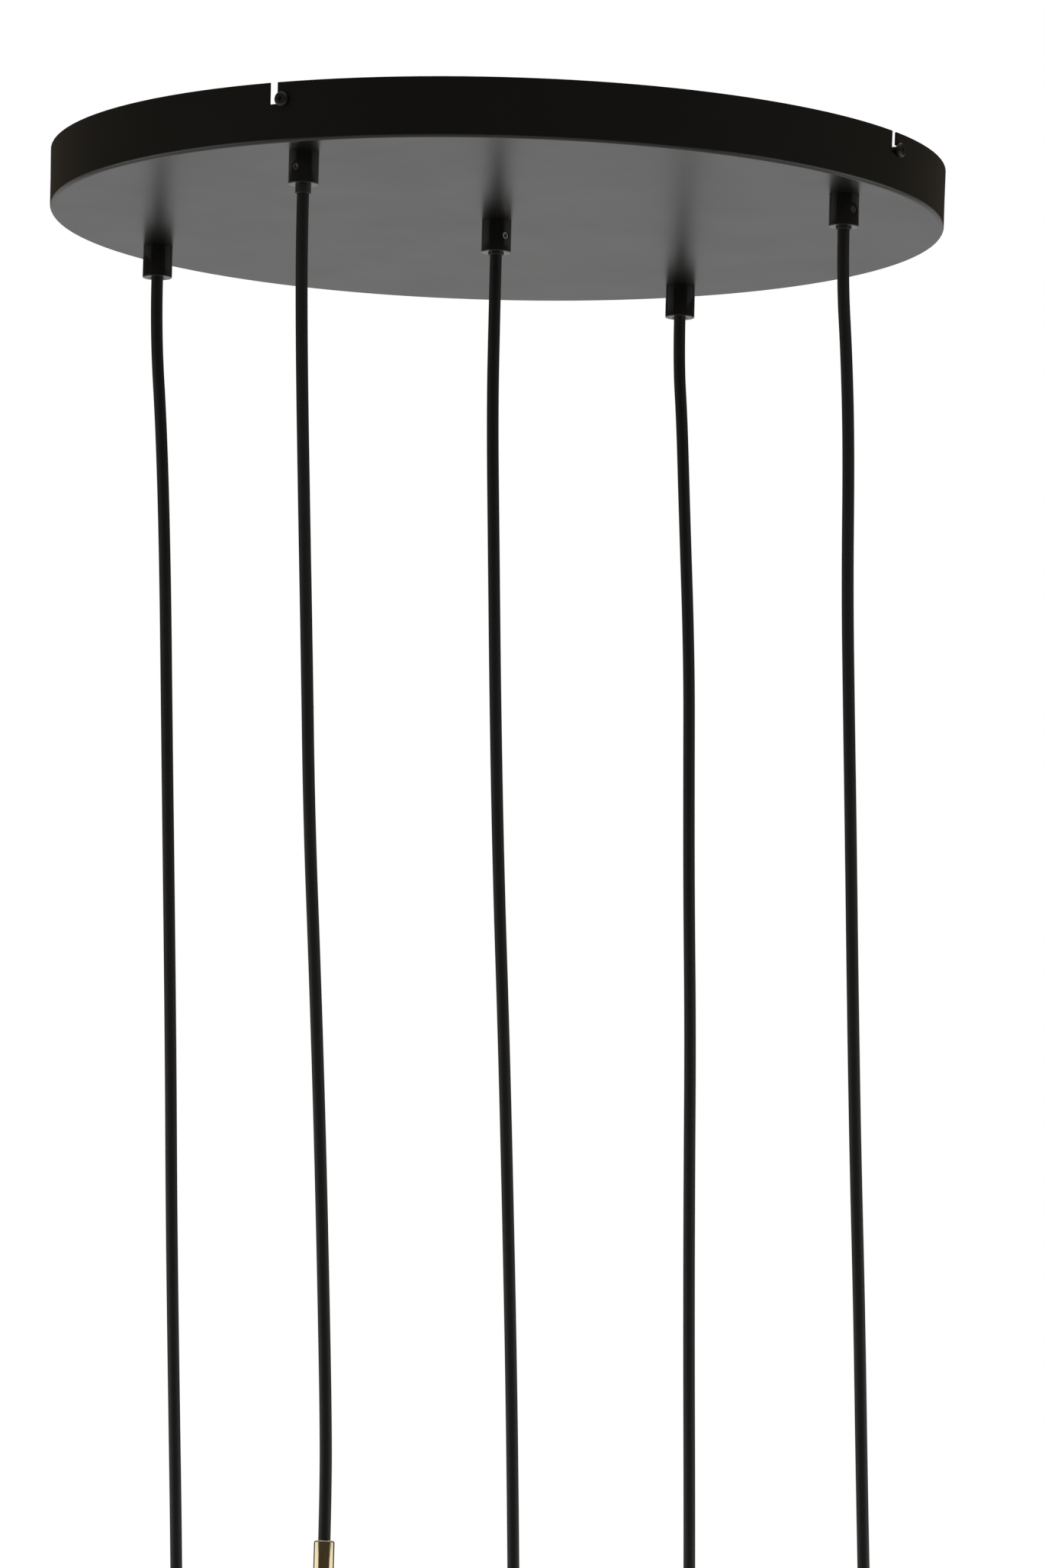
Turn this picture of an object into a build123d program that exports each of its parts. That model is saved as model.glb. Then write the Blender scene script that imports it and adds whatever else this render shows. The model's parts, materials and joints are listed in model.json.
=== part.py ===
from build123d import *

import math
import os

# Cluster pendant: a round canopy with five cord grips, each holding a round cord
# with a brass stem and an E27 lampholder at its end. Millimetres, +Z up. The origin
# is the centre of the ceiling bracket's upper face, which lies on the ceiling.

# ---------------------------------------------------------------- driving sizes
cut_over = 1.0                # how far a cutter runs past the face it goes through

# Canopy
canopy_diameter = 450.0
canopy_height = 30.0
canopy_wall = 1.0
canopy_flare = 0.4            # the rim stands this much further out than the underside
canopy_edge_radius = 2.0
ceiling_gap = 1.0             # between the rim and the ceiling
pattern_angle = 61.0          # of the first outer grip, from +X
outer_grips = 4
grip_edge_distance = 28.0     # from the canopy's edge to an outer grip's axis

# Rim slots and side screws, one beside each outer grip's radius
slot_width = 4.3
slot_depth = 10.8
slot_travel = 5.0             # along the rim, from the slot's mouth to the screw's seat
slot_offset = -1.9            # of the slot's mouth from the grip's radius, along the rim
screw_diameter = 4.0
screw_head_diameter = 7.4
screw_head_height = 2.2
screw_head_round = 1.3
screw_head_gap = 0.3
screw_beyond_tab = 1.5
recess_length = 3.6           # of the cross recess in each screw's head
recess_width = 0.9
recess_depth = 1.2

# Ceiling bracket
bracket_thickness = 2.0
plate_diameter = 110.0
cable_hole_diameter = 20.0
fixing_circle_diameter = 80.0
fixing_hole_diameter = 5.5
fixing_holes = 4
arm_width = 20.0
tab_width = 9.0
tab_length = 14.0
tab_setback = 6.5             # between the canopy's wall and the tab
tab_neck = 5.0                # over which an arm narrows to its tab
tab_bend_radius = 1.0
thread_clearance = 0.03       # radial, between a screw and its thread

# Cord grips
grip_diameter = 15.0
grip_length = 16.0
grip_edge_round = 0.4
grip_thread_diameter = 10.0
grip_thread_length = 8.0      # above the canopy's floor
grip_hole_clearance = 0.15    # radial, in the canopy
bush_diameter = 7.8
bush_wall = 0.8
bush_seat_depth = 12.0
bush_mouth_round = 0.3
bush_clearance = 0.1          # radial, in the grip
bush_reach = {1: 0.0, 2: 4.6, 3: 1.4, 4: 0.0, 5: 1.4}      # below each grip
set_screw_diameter = 4.0
set_screw_length = 2.9
set_screw_key = 2.0
set_screw_key_depth = 1.5
set_screw_height = 8.0        # above the grip's mouth
set_screw_angle = {1: 60.0, 2: -125.0, 3: -49.0, 4: 110.0, 5: -48.0}
nut_flats = 14.0
nut_height = 3.0
washer_diameter = 18.0
washer_thickness = 0.8

# Cords
cord_diameter = 6.0
cord_clearance = 0.2          # radial, where a cord passes through a rigid piece
arc_share = 0.45              # of the shorter run, taken by an arc

# Stems, cups and lampholders
stem_diameter = 10.0
stem_wall = 1.0
stem_length = 100.0
stem_lip = 1.5
stem_edge_round = 0.8
stem_thread_length = 12.0     # inside the cup and the lampholder
collar_diameter = 16.0
collar_height = 6.0
collar_round = 1.0
collar_clearance = 0.1
cup_diameter = 44.0
cup_height = 30.0
cup_wall = 1.0
cup_shoulder_radius = 8.0
holder_clearance = 0.2        # radial, in the cup
holder_wall = 3.0
holder_flange_height = 2.0
skirt_diameter = 39.6         # below the shade ring, where a shade's collar goes
ring_thread_diameter = 40.6   # of the skirt's stretch under the shade ring
skirt_length = 28.0
carrier_thickness = 4.0
mouth_diameter = 33.0
mouth_depth = 4.0
shell_bore = 26.6             # the E27 thread's crest to crest
shell_wall = 0.4
shell_length = 24.0
shell_neck_bore = 24.0        # above the thread, round the centre contact
shell_neck_height = 5.0
shell_flange_bore = 16.0
shell_clearance = 0.1
contact_width = 4.0
contact_thickness = 0.5
contact_rise = 3.5
contact_half_length = 6.0
ring_diameter = 54.0
ring_height = 8.0
ring_flange = 2.5
ring_wall = 3.0
ring_gap = 2.0                # below the lampholder's flange
ring_clearance = 0.2
ring_round = 0.5

# Mounting strip, wiring box and terminals, inside the canopy
strip_thickness = 1.0
strip_width = 20.0
strip_end = 12.0              # beyond the centre grip, away from the box
box_length = 80.0
box_depth = 46.0
box_height = 18.0
box_wall = 1.8
box_distance = 61.0           # of its centre from the centre grip
box_corner_radius = 3.0
lid_thickness = 1.8
supply_hole_diameter = 9.0
supply_hole_offset = -20.0
post_diameter = 6.4
post_inset = 4.6
small_screw_diameter = 3.0
small_screw_head = 6.0
small_screw_head_height = 2.2
box_screw_offset = 16.5
entry_depth = 4.0             # of a cord's centre below the box's rim
entry_reach = 8.0             # of a cord inside the box
block_length = 34.0
block_depth = 20.0
block_height = 14.0
block_pitch = 11.0
block_bore = 4.0
block_bore_height = 5.0
terminal_screw_diameter = 3.2
terminal_screw_length = 7.0
terminal_screw_sunk = 0.5
earth_screw_distance = 23.0
tag_diameter = 8.0
tag_thickness = 0.8
tag_barrel_length = 5.0
lead_diameter = 2.4
lead_hole_height = 7.0        # above the box's foot

# Each free cord's route: sideways, towards the back and down from its grip's mouth
cord_route = {
    1: [(0, 0, 0), (0, 0, 28), (4.5, 0.5, 80), (8.3, 1.2, 150), (11.6, 1.5, 235),
        (15.0, 1.0, 318), (18.3, 0.2, 402), (20.9, -0.6, 480), (24.5, -1.1, 566),
        (28.1, -1.0, 648), (30.9, -0.5, 730), (32.3, -0.1, 798), (32.6, 0, 842),
        (32.6, 0, 868)],
    2: [(0, 0, 0), (0, 0, 28), (1.6, -0.4, 82), (4.5, -1.0, 150), (8.2, -1.2, 232),
        (11.4, -0.6, 310), (16.4, 0.3, 388), (20.9, 1.0, 466), (24.8, 0.9, 545),
        (27.6, 0.4, 608), (28.3, 0, 640), (28.3, 0, 663)],
    3: [(0, 0, 0), (0, 0, 28), (0.2, 0.6, 80), (2.7, 1.3, 150), (5.6, 1.1, 232),
        (9.3, 0.3, 316), (14.0, -0.7, 398), (18.1, -1.3, 482), (21.9, -1.1, 566),
        (25.0, -0.3, 650), (27.6, 0.4, 734), (29.6, 0.6, 812), (30.4, 0.2, 872),
        (30.5, 0, 904), (30.5, 0, 927)],
    4: [(0, 0, 0), (0, 0, 24), (2.4, -0.3, 54), (4.7, -0.8, 100), (9.0, -1.2, 178),
        (10.3, -1.0, 240), (11.7, -0.5, 300), (14.1, 0.3, 372), (15.4, 0.9, 452),
        (17.1, 1.0, 532), (19.2, 0.6, 612), (20.6, 0.2, 676), (21.0, 0, 716),
        (21.0, 0, 743)],
    5: [(0, 0, 0), (0, 0, 26), (2.9, 0.4, 64), (5.0, 1.0, 110), (5.8, 1.3, 180),
        (7.7, 1.0, 236), (10.1, 0.4, 302), (12.7, -0.4, 380), (15.7, -1.0, 460),
        (19.4, -1.1, 540), (22.3, -0.6, 620), (25.3, -0.2, 692), (26.9, 0, 742),
        (27.3, 0, 778), (27.3, 0, 802)],
}
# Each tail inside the canopy: points between its grip and its entry, from the origin
tail_route = {
    1: [(-112, 98, -12), (-66, 75, -15)],
    2: [(-106, -112, -13), (-98, -38, -15), (-76, 24, -15), (-62, 44, -15)],
    3: [(-13, 11, -12)],
    4: [(96, 122, -13), (72, 80, -15)],
    5: [(152, -42, -13), (112, 14, -15), (72, 46, -15)],
}
tail_rise = 12.0              # of a tail's bend above the grip's thread
tail_bend_radius = 9.0
# Where each tail enters the box: along X and Y from its centre, and the way in
tail_entry = {
    1: (-1, 9.0), 2: (-1, -11.0), 3: (0, -22.0), 4: (1, 11.0), 5: (1, -11.0),
}

# ---------------------------------------------------------------- derived places
canopy_radius = canopy_diameter / 2
grip_circle_radius = canopy_radius - grip_edge_distance
rim_z = -ceiling_gap
underside_z = rim_z - canopy_height
floor_z = underside_z + canopy_wall
grip_mouth_z = underside_z - grip_length
grip_top_z = floor_z + grip_thread_length
seat_z = rim_z - slot_depth + slot_width / 2
wall_radius = canopy_radius + canopy_flare * (seat_z - underside_z) / canopy_height
tab_radius = wall_radius - canopy_wall - tab_setback
strip_top_z = floor_z + strip_thickness
box_top_z = strip_top_z + box_height
entry_z = box_top_z - entry_depth
screw_offset = slot_offset + slot_travel
pendants = range(1, outer_grips + 2)
centre_pendant = 3
outer_turn = {1: 1, 2: 2, 4: 0, 5: 3}          # quarter turns from the pattern angle
cord_radius = cord_diameter / 2
thread_radius = grip_thread_diameter / 2
box_centre = Vector(0, box_distance, 0)


def outer_angle(quarter):
    """Angle of an outer grip, and of the bracket arm and rim slot beside it."""
    return pattern_angle + quarter * 360 / outer_grips


def grip_place(n):
    """Axis of pendant n's cord grip, on the canopy's underside."""
    if n == centre_pendant:
        return Vector(0, 0, 0)
    return Vector(grip_circle_radius, 0, 0).rotate(Axis.Z, outer_angle(outer_turn[n]))


def mouth_z(n):
    """Height at which pendant n's cord leaves its bush."""
    return grip_mouth_z - bush_reach[n]


def stem_top(n):
    """Centre of the top of pendant n's stem, where its free cord ends."""
    dx, dy, drop = cord_route[n][-1]
    return grip_place(n) + Vector(dx, dy, mouth_z(n) - drop)


def cup_top(n):
    """Centre of the top of pendant n's socket cup."""
    return stem_top(n) - Vector(0, 0, stem_length - stem_thread_length)


# ---------------------------------------------------------------- shape helpers
def turned(*corners):
    """Solid turned about Z from corners of radius, height and rounding."""
    outline = FilletPolyline(
        *[(radius, height) for radius, height, _ in corners],
        radius=[rounding for _, _, rounding in corners],
        close=True,
    )
    return revolve(Plane.XZ * make_face(outline), Axis.Z)


def tube(outer, inner, low, high, outer_round=0.0):
    """Round tube about Z from its two radii and its two ends."""
    return turned((inner, low, 0), (outer, low, outer_round), (outer, high, 0),
                  (inner, high, 0))


def rod(radius, low, high):
    """Round bar about Z."""
    return Pos(0, 0, low) * extrude(Circle(radius), high - low)


def swept_cord(points, radius, bend_limit=math.inf):
    """Round cord along straight runs that are joined by tangent arcs."""
    points = [Vector(*p) for p in points]
    radii = []
    for before, here, after in zip(points, points[1:], points[2:]):
        run = min((here - before).length, (after - here).length)
        half_turn = math.radians((here - before).get_angle(after - here)) / 2
        radii.append(min(arc_share * run / math.tan(half_turn), bend_limit))
    path = FilletPolyline(*points, radius=radii)
    solid = sweep(Plane(path @ 0, z_dir=path % 0) * Circle(radius), path=path)
    share = solid.volume / (math.pi * radius**2 * path.length)
    print("cord of", round(path.length), "mm, least radius", round(min(radii)),
          "mm, volume over section times length", round(share, 4))
    return solid


def cross_recess(length):
    """Cutter for a cross recess whose mouth is on the plane Z = 0."""
    bar = Box(length, recess_width, 2 * recess_depth)
    return bar + Rot(0, 0, 90) * bar


def screw_head(radius, height, rounding):
    """Screw head on the plane Z = 0, with a cross recess in its top."""
    head = turned((0, 0, 0), (radius, 0, 0), (radius, height, rounding), (0, height, 0))
    return head - Pos(0, 0, height) * cross_recess(recess_length)


# ---------------------------------------------------------------- ceiling bracket
def bracket_arm():
    """One arm along +X: a flat strip that narrows to a tab turned down at its end."""
    root = plate_diameter / 2 - tab_neck
    shoulder = tab_radius - bracket_thickness - 2 * tab_neck
    neck = shoulder + tab_neck
    low, high = screw_offset - arm_width / 2, screw_offset + arm_width / 2
    tab_low, tab_high = screw_offset - tab_width / 2, screw_offset + tab_width / 2
    flat = make_face(Polyline(
        (root, low), (shoulder, low), (neck, tab_low), (neck, tab_high),
        (shoulder, high), (root, high), close=True))
    inner = tab_radius - bracket_thickness
    bend = FilletPolyline(
        (neck, 0), (tab_radius, 0), (tab_radius, -tab_length), (inner, -tab_length),
        (inner, -bracket_thickness), (neck, -bracket_thickness),
        radius=[0, tab_bend_radius + bracket_thickness, 0, 0, tab_bend_radius, 0],
        close=True)
    tab = Pos(0, tab_low, 0) * extrude(Plane.XZ * make_face(bend), -tab_width)
    hole = Pos(tab_radius, screw_offset, seat_z) * Rot(0, 90, 0) * Cylinder(
        screw_diameter / 2 + thread_clearance, 4 * bracket_thickness)
    return extrude(flat, -bracket_thickness) + tab - hole


def ceiling_bracket():
    plate = rod(plate_diameter / 2, -bracket_thickness, 0)
    for quarter in range(outer_grips):
        plate += Rot(0, 0, outer_angle(quarter)) * bracket_arm()
    plate -= rod(cable_hole_diameter / 2, -2 * bracket_thickness, bracket_thickness)
    hole = rod(fixing_hole_diameter / 2, -2 * bracket_thickness, bracket_thickness)
    for k in range(fixing_holes):
        angle = pattern_angle + (k + 0.5) * 360 / fixing_holes
        plate -= Rot(0, 0, angle) * Pos(fixing_circle_diameter / 2, 0, 0) * hole
    return plate


def side_screws():
    """Screws through the rim slots into the bracket's tabs, heads outwards."""
    inside = tab_radius - bracket_thickness - screw_beyond_tab
    seat = wall_radius + screw_head_gap
    screw = screw_head(screw_head_diameter / 2, screw_head_height, screw_head_round)
    screw += rod(screw_diameter / 2, inside - seat, 0)
    placed = Pos(seat, screw_offset, seat_z) * Rot(0, 90, 0) * screw
    return [Rot(0, 0, outer_angle(q)) * placed for q in range(outer_grips)]


# ---------------------------------------------------------------- canopy
def canopy_blank():
    """Pressed pan, open at its top, with a rounded lower edge."""
    rim_radius = canopy_radius + canopy_flare
    return turned(
        (0, underside_z, 0),
        (canopy_radius, underside_z, canopy_edge_radius),
        (rim_radius, rim_z, 0),
        (rim_radius - canopy_wall, rim_z, 0),
        (canopy_radius - canopy_wall, floor_z, canopy_edge_radius - canopy_wall),
        (0, floor_z, 0))


def rim_slot():
    """Cutter for one L-shaped slot: in from the rim, then along to the screw's seat."""
    depth = 4 * (canopy_wall + canopy_flare)
    entry_low = seat_z - slot_width / 2
    entry = Pos(wall_radius, slot_offset, (entry_low + ceiling_gap) / 2) * Box(
        depth, slot_width, ceiling_gap - entry_low)
    leg = Pos(wall_radius, slot_offset + slot_travel / 2, seat_z) * Box(
        depth, slot_travel, slot_width)
    seat = Pos(wall_radius, screw_offset, seat_z) * Rot(0, 90, 0) * Cylinder(
        slot_width / 2, depth)
    return entry + leg + seat


def canopy_pan():
    pan = canopy_blank()
    hole = rod(thread_radius + grip_hole_clearance, underside_z - cut_over, floor_z + cut_over)
    for n in pendants:
        pan -= Pos(grip_place(n)) * hole
    for quarter in range(outer_grips):
        pan -= Rot(0, 0, outer_angle(quarter)) * rim_slot()
    return pan


# ---------------------------------------------------------------- cord grips
def cord_grip(n):
    """Turned grip: a body under the canopy and a hollow thread up through it."""
    body, thread = grip_diameter / 2, thread_radius
    wide = bush_diameter / 2 + bush_clearance
    narrow = cord_radius + cord_clearance
    seat = grip_mouth_z + bush_seat_depth
    grip = turned(
        (wide, grip_mouth_z, 0), (body, grip_mouth_z, grip_edge_round),
        (body, underside_z, 0), (thread, underside_z, 0),
        (thread, grip_top_z, grip_edge_round), (narrow, grip_top_z, 0),
        (narrow, seat, 0), (wide, seat, 0))
    hole = Pos(0, 0, grip_mouth_z + set_screw_height) * Rot(0, 90, 0) * rod(
        set_screw_diameter / 2, 0, grip_diameter)
    grip -= Rot(0, 0, set_screw_angle[n]) * hole
    return Pos(grip_place(n)) * grip


def grip_bush(n):
    """Sleeve round the cord, from its seat in the grip to just past the mouth."""
    outer = bush_diameter / 2
    sleeve = tube(outer, outer - bush_wall, mouth_z(n), grip_mouth_z + bush_seat_depth,
                  bush_mouth_round)
    return Pos(grip_place(n)) * sleeve


def set_screw(n):
    """Grub screw with a hexagon socket, its point just clear of the bush."""
    start = bush_diameter / 2 + bush_clearance
    screw = rod(set_screw_diameter / 2 - thread_clearance, start, start + set_screw_length)
    key = RegularPolygon(set_screw_key / 2, 6, major_radius=False)
    socket = Pos(0, 0, start + set_screw_length) * extrude(key, -set_screw_key_depth)
    across = Pos(0, 0, grip_mouth_z + set_screw_height) * Rot(0, 90, 0)
    turned_to = Rot(0, 0, set_screw_angle[n])
    return Pos(grip_place(n)) * turned_to * across * (screw - socket)


def washer_foot(n):
    """Height on which pendant n's washer lies: the strip is under the centre one."""
    return strip_top_z if n == centre_pendant else floor_z


def lock_washer(n):
    foot = washer_foot(n)
    ring = tube(washer_diameter / 2, thread_radius + grip_hole_clearance,
                foot, foot + washer_thickness)
    return Pos(grip_place(n)) * ring


def lock_nut(n):
    foot = washer_foot(n) + washer_thickness
    flats = RegularPolygon(nut_flats / 2, 6, major_radius=False)
    nut = extrude(flats - Circle(thread_radius + thread_clearance), nut_height)
    return Pos(grip_place(n) + Vector(0, 0, foot)) * nut


# ---------------------------------------------------------------- cords
def free_cord(n):
    """Cord from its grip's mouth to the top of its stem."""
    start = grip_place(n) + Vector(0, 0, mouth_z(n))
    points = [start + Vector(dx, dy, -drop) for dx, dy, drop in cord_route[n]]
    return swept_cord(points, cord_radius)


def tail_end(n):
    """Where pendant n's tail crosses the box's wall, and its way in."""
    side, along = tail_entry[n]
    if side:
        at = box_centre + Vector(side * box_length / 2, along, entry_z)
        return at, Vector(-side, 0, 0)
    return box_centre + Vector(along, -box_depth / 2, entry_z), Vector(0, 1, 0)


def cord_tail(n):
    """The same cord above its mouth: through the grip and over to the wiring box."""
    foot = grip_place(n) + Vector(0, 0, mouth_z(n))
    bend = grip_place(n) + Vector(0, 0, grip_top_z + tail_rise)
    at, inwards = tail_end(n)
    lead_in = at - inwards * (2 * cord_diameter)
    points = [foot, bend, *tail_route[n], lead_in, at + inwards * entry_reach]
    return swept_cord(points, cord_radius, tail_bend_radius)


# ---------------------------------------------------------------- stems and cups
def stem_tube(n):
    """Tube with a lip round the cord at its top."""
    radius = stem_diameter / 2
    bore = radius - stem_wall
    tube_solid = turned(
        (bore, -stem_length, 0), (radius, -stem_length, 0), (radius, 0, stem_edge_round),
        (cord_radius + cord_clearance, 0, 0),
        (cord_radius + cord_clearance, -stem_lip, 0), (bore, -stem_lip, 0))
    return Pos(stem_top(n)) * tube_solid


def stem_cord(n):
    """The cord's last stretch, inside the stem and into the lampholder."""
    return Pos(stem_top(n)) * rod(cord_radius, -stem_length - stem_thread_length / 2, 0)


def stem_collar(n):
    """Round nut that clamps the cup on the stem."""
    radius = collar_diameter / 2
    bore = stem_diameter / 2 + collar_clearance
    nut = turned((bore, 0, 0), (radius, 0, 0), (radius, collar_height, collar_round),
                 (bore, collar_height, 0))
    return Pos(cup_top(n)) * nut


def socket_cup(n):
    """Spun cup, open below, with a rounded shoulder and a hole for the stem."""
    radius = cup_diameter / 2
    hole = stem_diameter / 2 + collar_clearance
    cup = turned(
        (hole, 0, 0), (radius, 0, cup_shoulder_radius), (radius, -cup_height, 0),
        (radius - cup_wall, -cup_height, 0),
        (radius - cup_wall, -cup_wall, cup_shoulder_radius - cup_wall),
        (hole, -cup_wall, 0))
    return Pos(cup_top(n)) * cup


# ---------------------------------------------------------------- lampholders
def lampholder(n):
    """Moulded body: a wiring chamber in the cup and a threaded skirt below it."""
    top = -cup_wall
    body = cup_diameter / 2 - cup_wall - holder_clearance
    flange_top = -cup_height
    flange_low = flange_top - holder_flange_height
    thread, skirt = ring_thread_diameter / 2, skirt_diameter / 2
    thread_end = flange_low - ring_gap - ring_height
    mouth = flange_low - skirt_length
    stem_bore = stem_diameter / 2 + thread_clearance
    chamber = body - holder_wall
    carrier_top = flange_top + carrier_thickness
    shell_bore_outer = shell_bore / 2 + shell_wall + shell_clearance
    outside = turned(
        (stem_bore, top, 0), (body, top, cup_shoulder_radius - cup_wall),
        (body, flange_top, 0), (cup_diameter / 2, flange_top, 0),
        (cup_diameter / 2, flange_low, ring_round), (thread, flange_low, 0),
        (thread, thread_end, 0), (skirt, thread_end, 0), (skirt, mouth, ring_round),
        (mouth_diameter / 2, mouth, 0),
        (mouth_diameter / 2, mouth + mouth_depth, 0),
        (shell_bore_outer, mouth + mouth_depth, 0), (shell_bore_outer, flange_top, 0),
        (stem_bore, flange_top, 0))
    cavity = turned(
        (0, carrier_top, 0), (chamber, carrier_top, 0),
        (chamber, top - holder_wall, cup_shoulder_radius - cup_wall),
        (0, top - holder_wall, 0))
    carrier = rod(stem_diameter, flange_top, carrier_top)
    return Pos(cup_top(n)) * (outside + carrier - cavity)


def screw_shell():
    """Shell that takes the lamp's thread, with a flange on the carrier."""
    bore, neck = shell_bore / 2, shell_neck_bore / 2
    flange_z = -cup_height
    neck_z = flange_z - shell_neck_height
    low = flange_z - shell_length
    return turned(
        (shell_flange_bore / 2, flange_z, 0), (neck + shell_wall, flange_z, 0),
        (neck + shell_wall, neck_z + shell_wall, 0), (bore + shell_wall, neck_z + shell_wall, 0),
        (bore + shell_wall, low, 0), (bore, low, 0), (bore, neck_z, 0), (neck, neck_z, 0),
        (neck, flange_z - shell_wall, 0), (shell_flange_bore / 2, flange_z - shell_wall, 0))


def centre_contact():
    """Bent leaf under the carrier that meets the lamp's centre."""
    top, half, t = -cup_height, contact_half_length, contact_thickness
    low = top - contact_rise
    tip = contact_width / 2
    outline = Polyline(
        (-half, top), (-tip, top), (0, low + t), (half - tip, low + t), (half - tip, low),
        (-t, low), (-tip - t, top - t), (-half, top - t), close=True)
    return extrude(Plane.XZ * make_face(outline), contact_width / 2, both=True)


def lamp_contacts(n):
    return [Pos(cup_top(n)) * screw_shell(), Pos(cup_top(n)) * centre_contact()]


def shade_ring(n):
    """Threaded ring with a flange that would hold a shade against the lampholder."""
    top = -cup_height - holder_flange_height - ring_gap
    bore = ring_thread_diameter / 2 + ring_clearance
    collar = bore + ring_wall
    ring = turned(
        (bore, top, 0), (ring_diameter / 2, top, ring_round),
        (ring_diameter / 2, top - ring_flange, ring_round), (collar, top - ring_flange, 0),
        (collar, top - ring_height, ring_round), (bore, top - ring_height, 0))
    return Pos(cup_top(n)) * ring


# ---------------------------------------------------------------- wiring
def mounting_strip():
    """Strip under the centre washer that carries the wiring box and earth screw."""
    far = box_distance + box_depth / 2
    strip = Pos(0, (far - strip_end) / 2, floor_z + strip_thickness / 2) * Box(
        strip_width, far + strip_end, strip_thickness)
    strip -= rod(thread_radius + grip_hole_clearance, floor_z - cut_over, strip_top_z + cut_over)
    hole = rod(small_screw_diameter / 2 + thread_clearance, floor_z - cut_over, strip_top_z + cut_over)
    places = [earth_screw_distance, *[box_distance + s * box_screw_offset for s in (-1, 1)]]
    for y in places:
        strip -= Pos(0, y, 0) * hole
    return strip


def rounded_block(length, depth, height, corner):
    """Block on the plane Z = 0 with rounded upright edges."""
    return extrude(RectangleRounded(length, depth, corner), height)


def post_places():
    """Centres of the box's two lid posts, in opposite corners."""
    x, y = box_length / 2 - post_inset, box_depth / 2 - post_inset
    return [box_centre + Vector(-x, y, 0), box_centre + Vector(x, -y, 0)]


def small_hole(low, high):
    return rod(small_screw_diameter / 2 + thread_clearance, low, high)


def wiring_box():
    """Open box with a notch in its rim for each cord and two posts for the lid."""
    foot = Pos(box_centre + Vector(0, 0, strip_top_z))
    box = foot * rounded_block(box_length, box_depth, box_height, box_corner_radius)
    inside = rounded_block(box_length - 2 * box_wall, box_depth - 2 * box_wall,
                           box_height, box_corner_radius - box_wall)
    box -= foot * Pos(0, 0, box_wall) * inside
    for place in post_places():
        box += Pos(place) * rod(post_diameter / 2, strip_top_z, box_top_z)
    for place in post_places():
        box -= Pos(place) * small_hole(strip_top_z + box_wall, box_top_z + cut_over)
    notch_radius = cord_radius + cord_clearance
    for n in pendants:
        at, inwards = tail_end(n)
        turn = Rot(0, 0, math.degrees(math.atan2(inwards.Y, inwards.X)))
        outline = Circle(notch_radius) + Pos(0, entry_depth) * Rectangle(
            2 * notch_radius, 2 * entry_depth)
        box -= Pos(at) * turn * extrude(Plane.YZ * outline, 2 * box_wall, both=True)
    for side in (-1, 1):
        y = box_distance + side * box_screw_offset
        box -= Pos(0, y, 0) * small_hole(strip_top_z - cut_over, strip_top_z + 2 * box_wall)
    lead = Rot(90, 0, 0) * Cylinder(lead_diameter / 2 + cord_clearance, 4 * box_wall)
    box -= Pos(0, box_distance - box_depth / 2, strip_top_z + lead_hole_height) * lead
    return box


def wiring_lid():
    lid = Pos(box_centre + Vector(0, 0, box_top_z)) * rounded_block(
        box_length, box_depth, lid_thickness, box_corner_radius)
    for place in post_places():
        lid -= Pos(place) * small_hole(box_top_z - cut_over, box_top_z + 2 * lid_thickness)
    supply = rod(supply_hole_diameter / 2, box_top_z - cut_over, box_top_z + 2 * lid_thickness)
    return lid - Pos(box_centre + Vector(supply_hole_offset, 0, 0)) * supply


def block_poles():
    """Centres of the terminal block's three poles."""
    return [box_centre + Vector(k * block_pitch, 0, 0) for k in (-1, 0, 1)]


def screw_places():
    """Centres of the terminal screws, two on each pole."""
    reach = Vector(0, block_depth / 4, 0)
    return [pole + reach * side for pole in block_poles() for side in (-1, 1)]


def terminal_block():
    foot = strip_top_z + box_wall
    block = Pos(box_centre + Vector(0, 0, foot)) * rounded_block(
        block_length, block_depth, block_height, ring_round)
    for pole in block_poles():
        bore = Rot(90, 0, 0) * Cylinder(block_bore / 2, 2 * block_depth)
        block -= Pos(pole + Vector(0, 0, foot + block_bore_height)) * bore
    well = terminal_screw_diameter / 2 + thread_clearance
    for place in screw_places():
        block -= Pos(place) * rod(well, foot + block_bore_height, foot + 2 * block_height)
    return block


def terminal_screws():
    top = strip_top_z + box_wall + block_height - terminal_screw_sunk
    screw = rod(terminal_screw_diameter / 2, top - terminal_screw_length, top)
    screw -= Pos(0, 0, top) * cross_recess(terminal_screw_diameter - recess_width)
    return [Pos(place) * screw for place in screw_places()]


def small_screw(head_z, length):
    """Pan-head screw, its head on the given height."""
    head = screw_head(small_screw_head / 2, small_screw_head_height, screw_head_round)
    shank = rod(small_screw_diameter / 2, -length, 0)
    return Pos(0, 0, head_z) * (head + shank)


def box_screws():
    """Two in the box's floor, two in its lid and the earth screw on the strip."""
    floor_screw = small_screw(strip_top_z + box_wall, box_wall + strip_thickness)
    lid_screw = small_screw(box_top_z + lid_thickness, box_height / 2)
    screws = [Pos(0, box_distance + side * box_screw_offset, 0) * floor_screw
              for side in (-1, 1)]
    screws += [Pos(place) * lid_screw for place in post_places()]
    earth = small_screw(strip_top_z + tag_thickness, tag_thickness + strip_thickness)
    return screws + [Pos(0, earth_screw_distance, 0) * earth]


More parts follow.
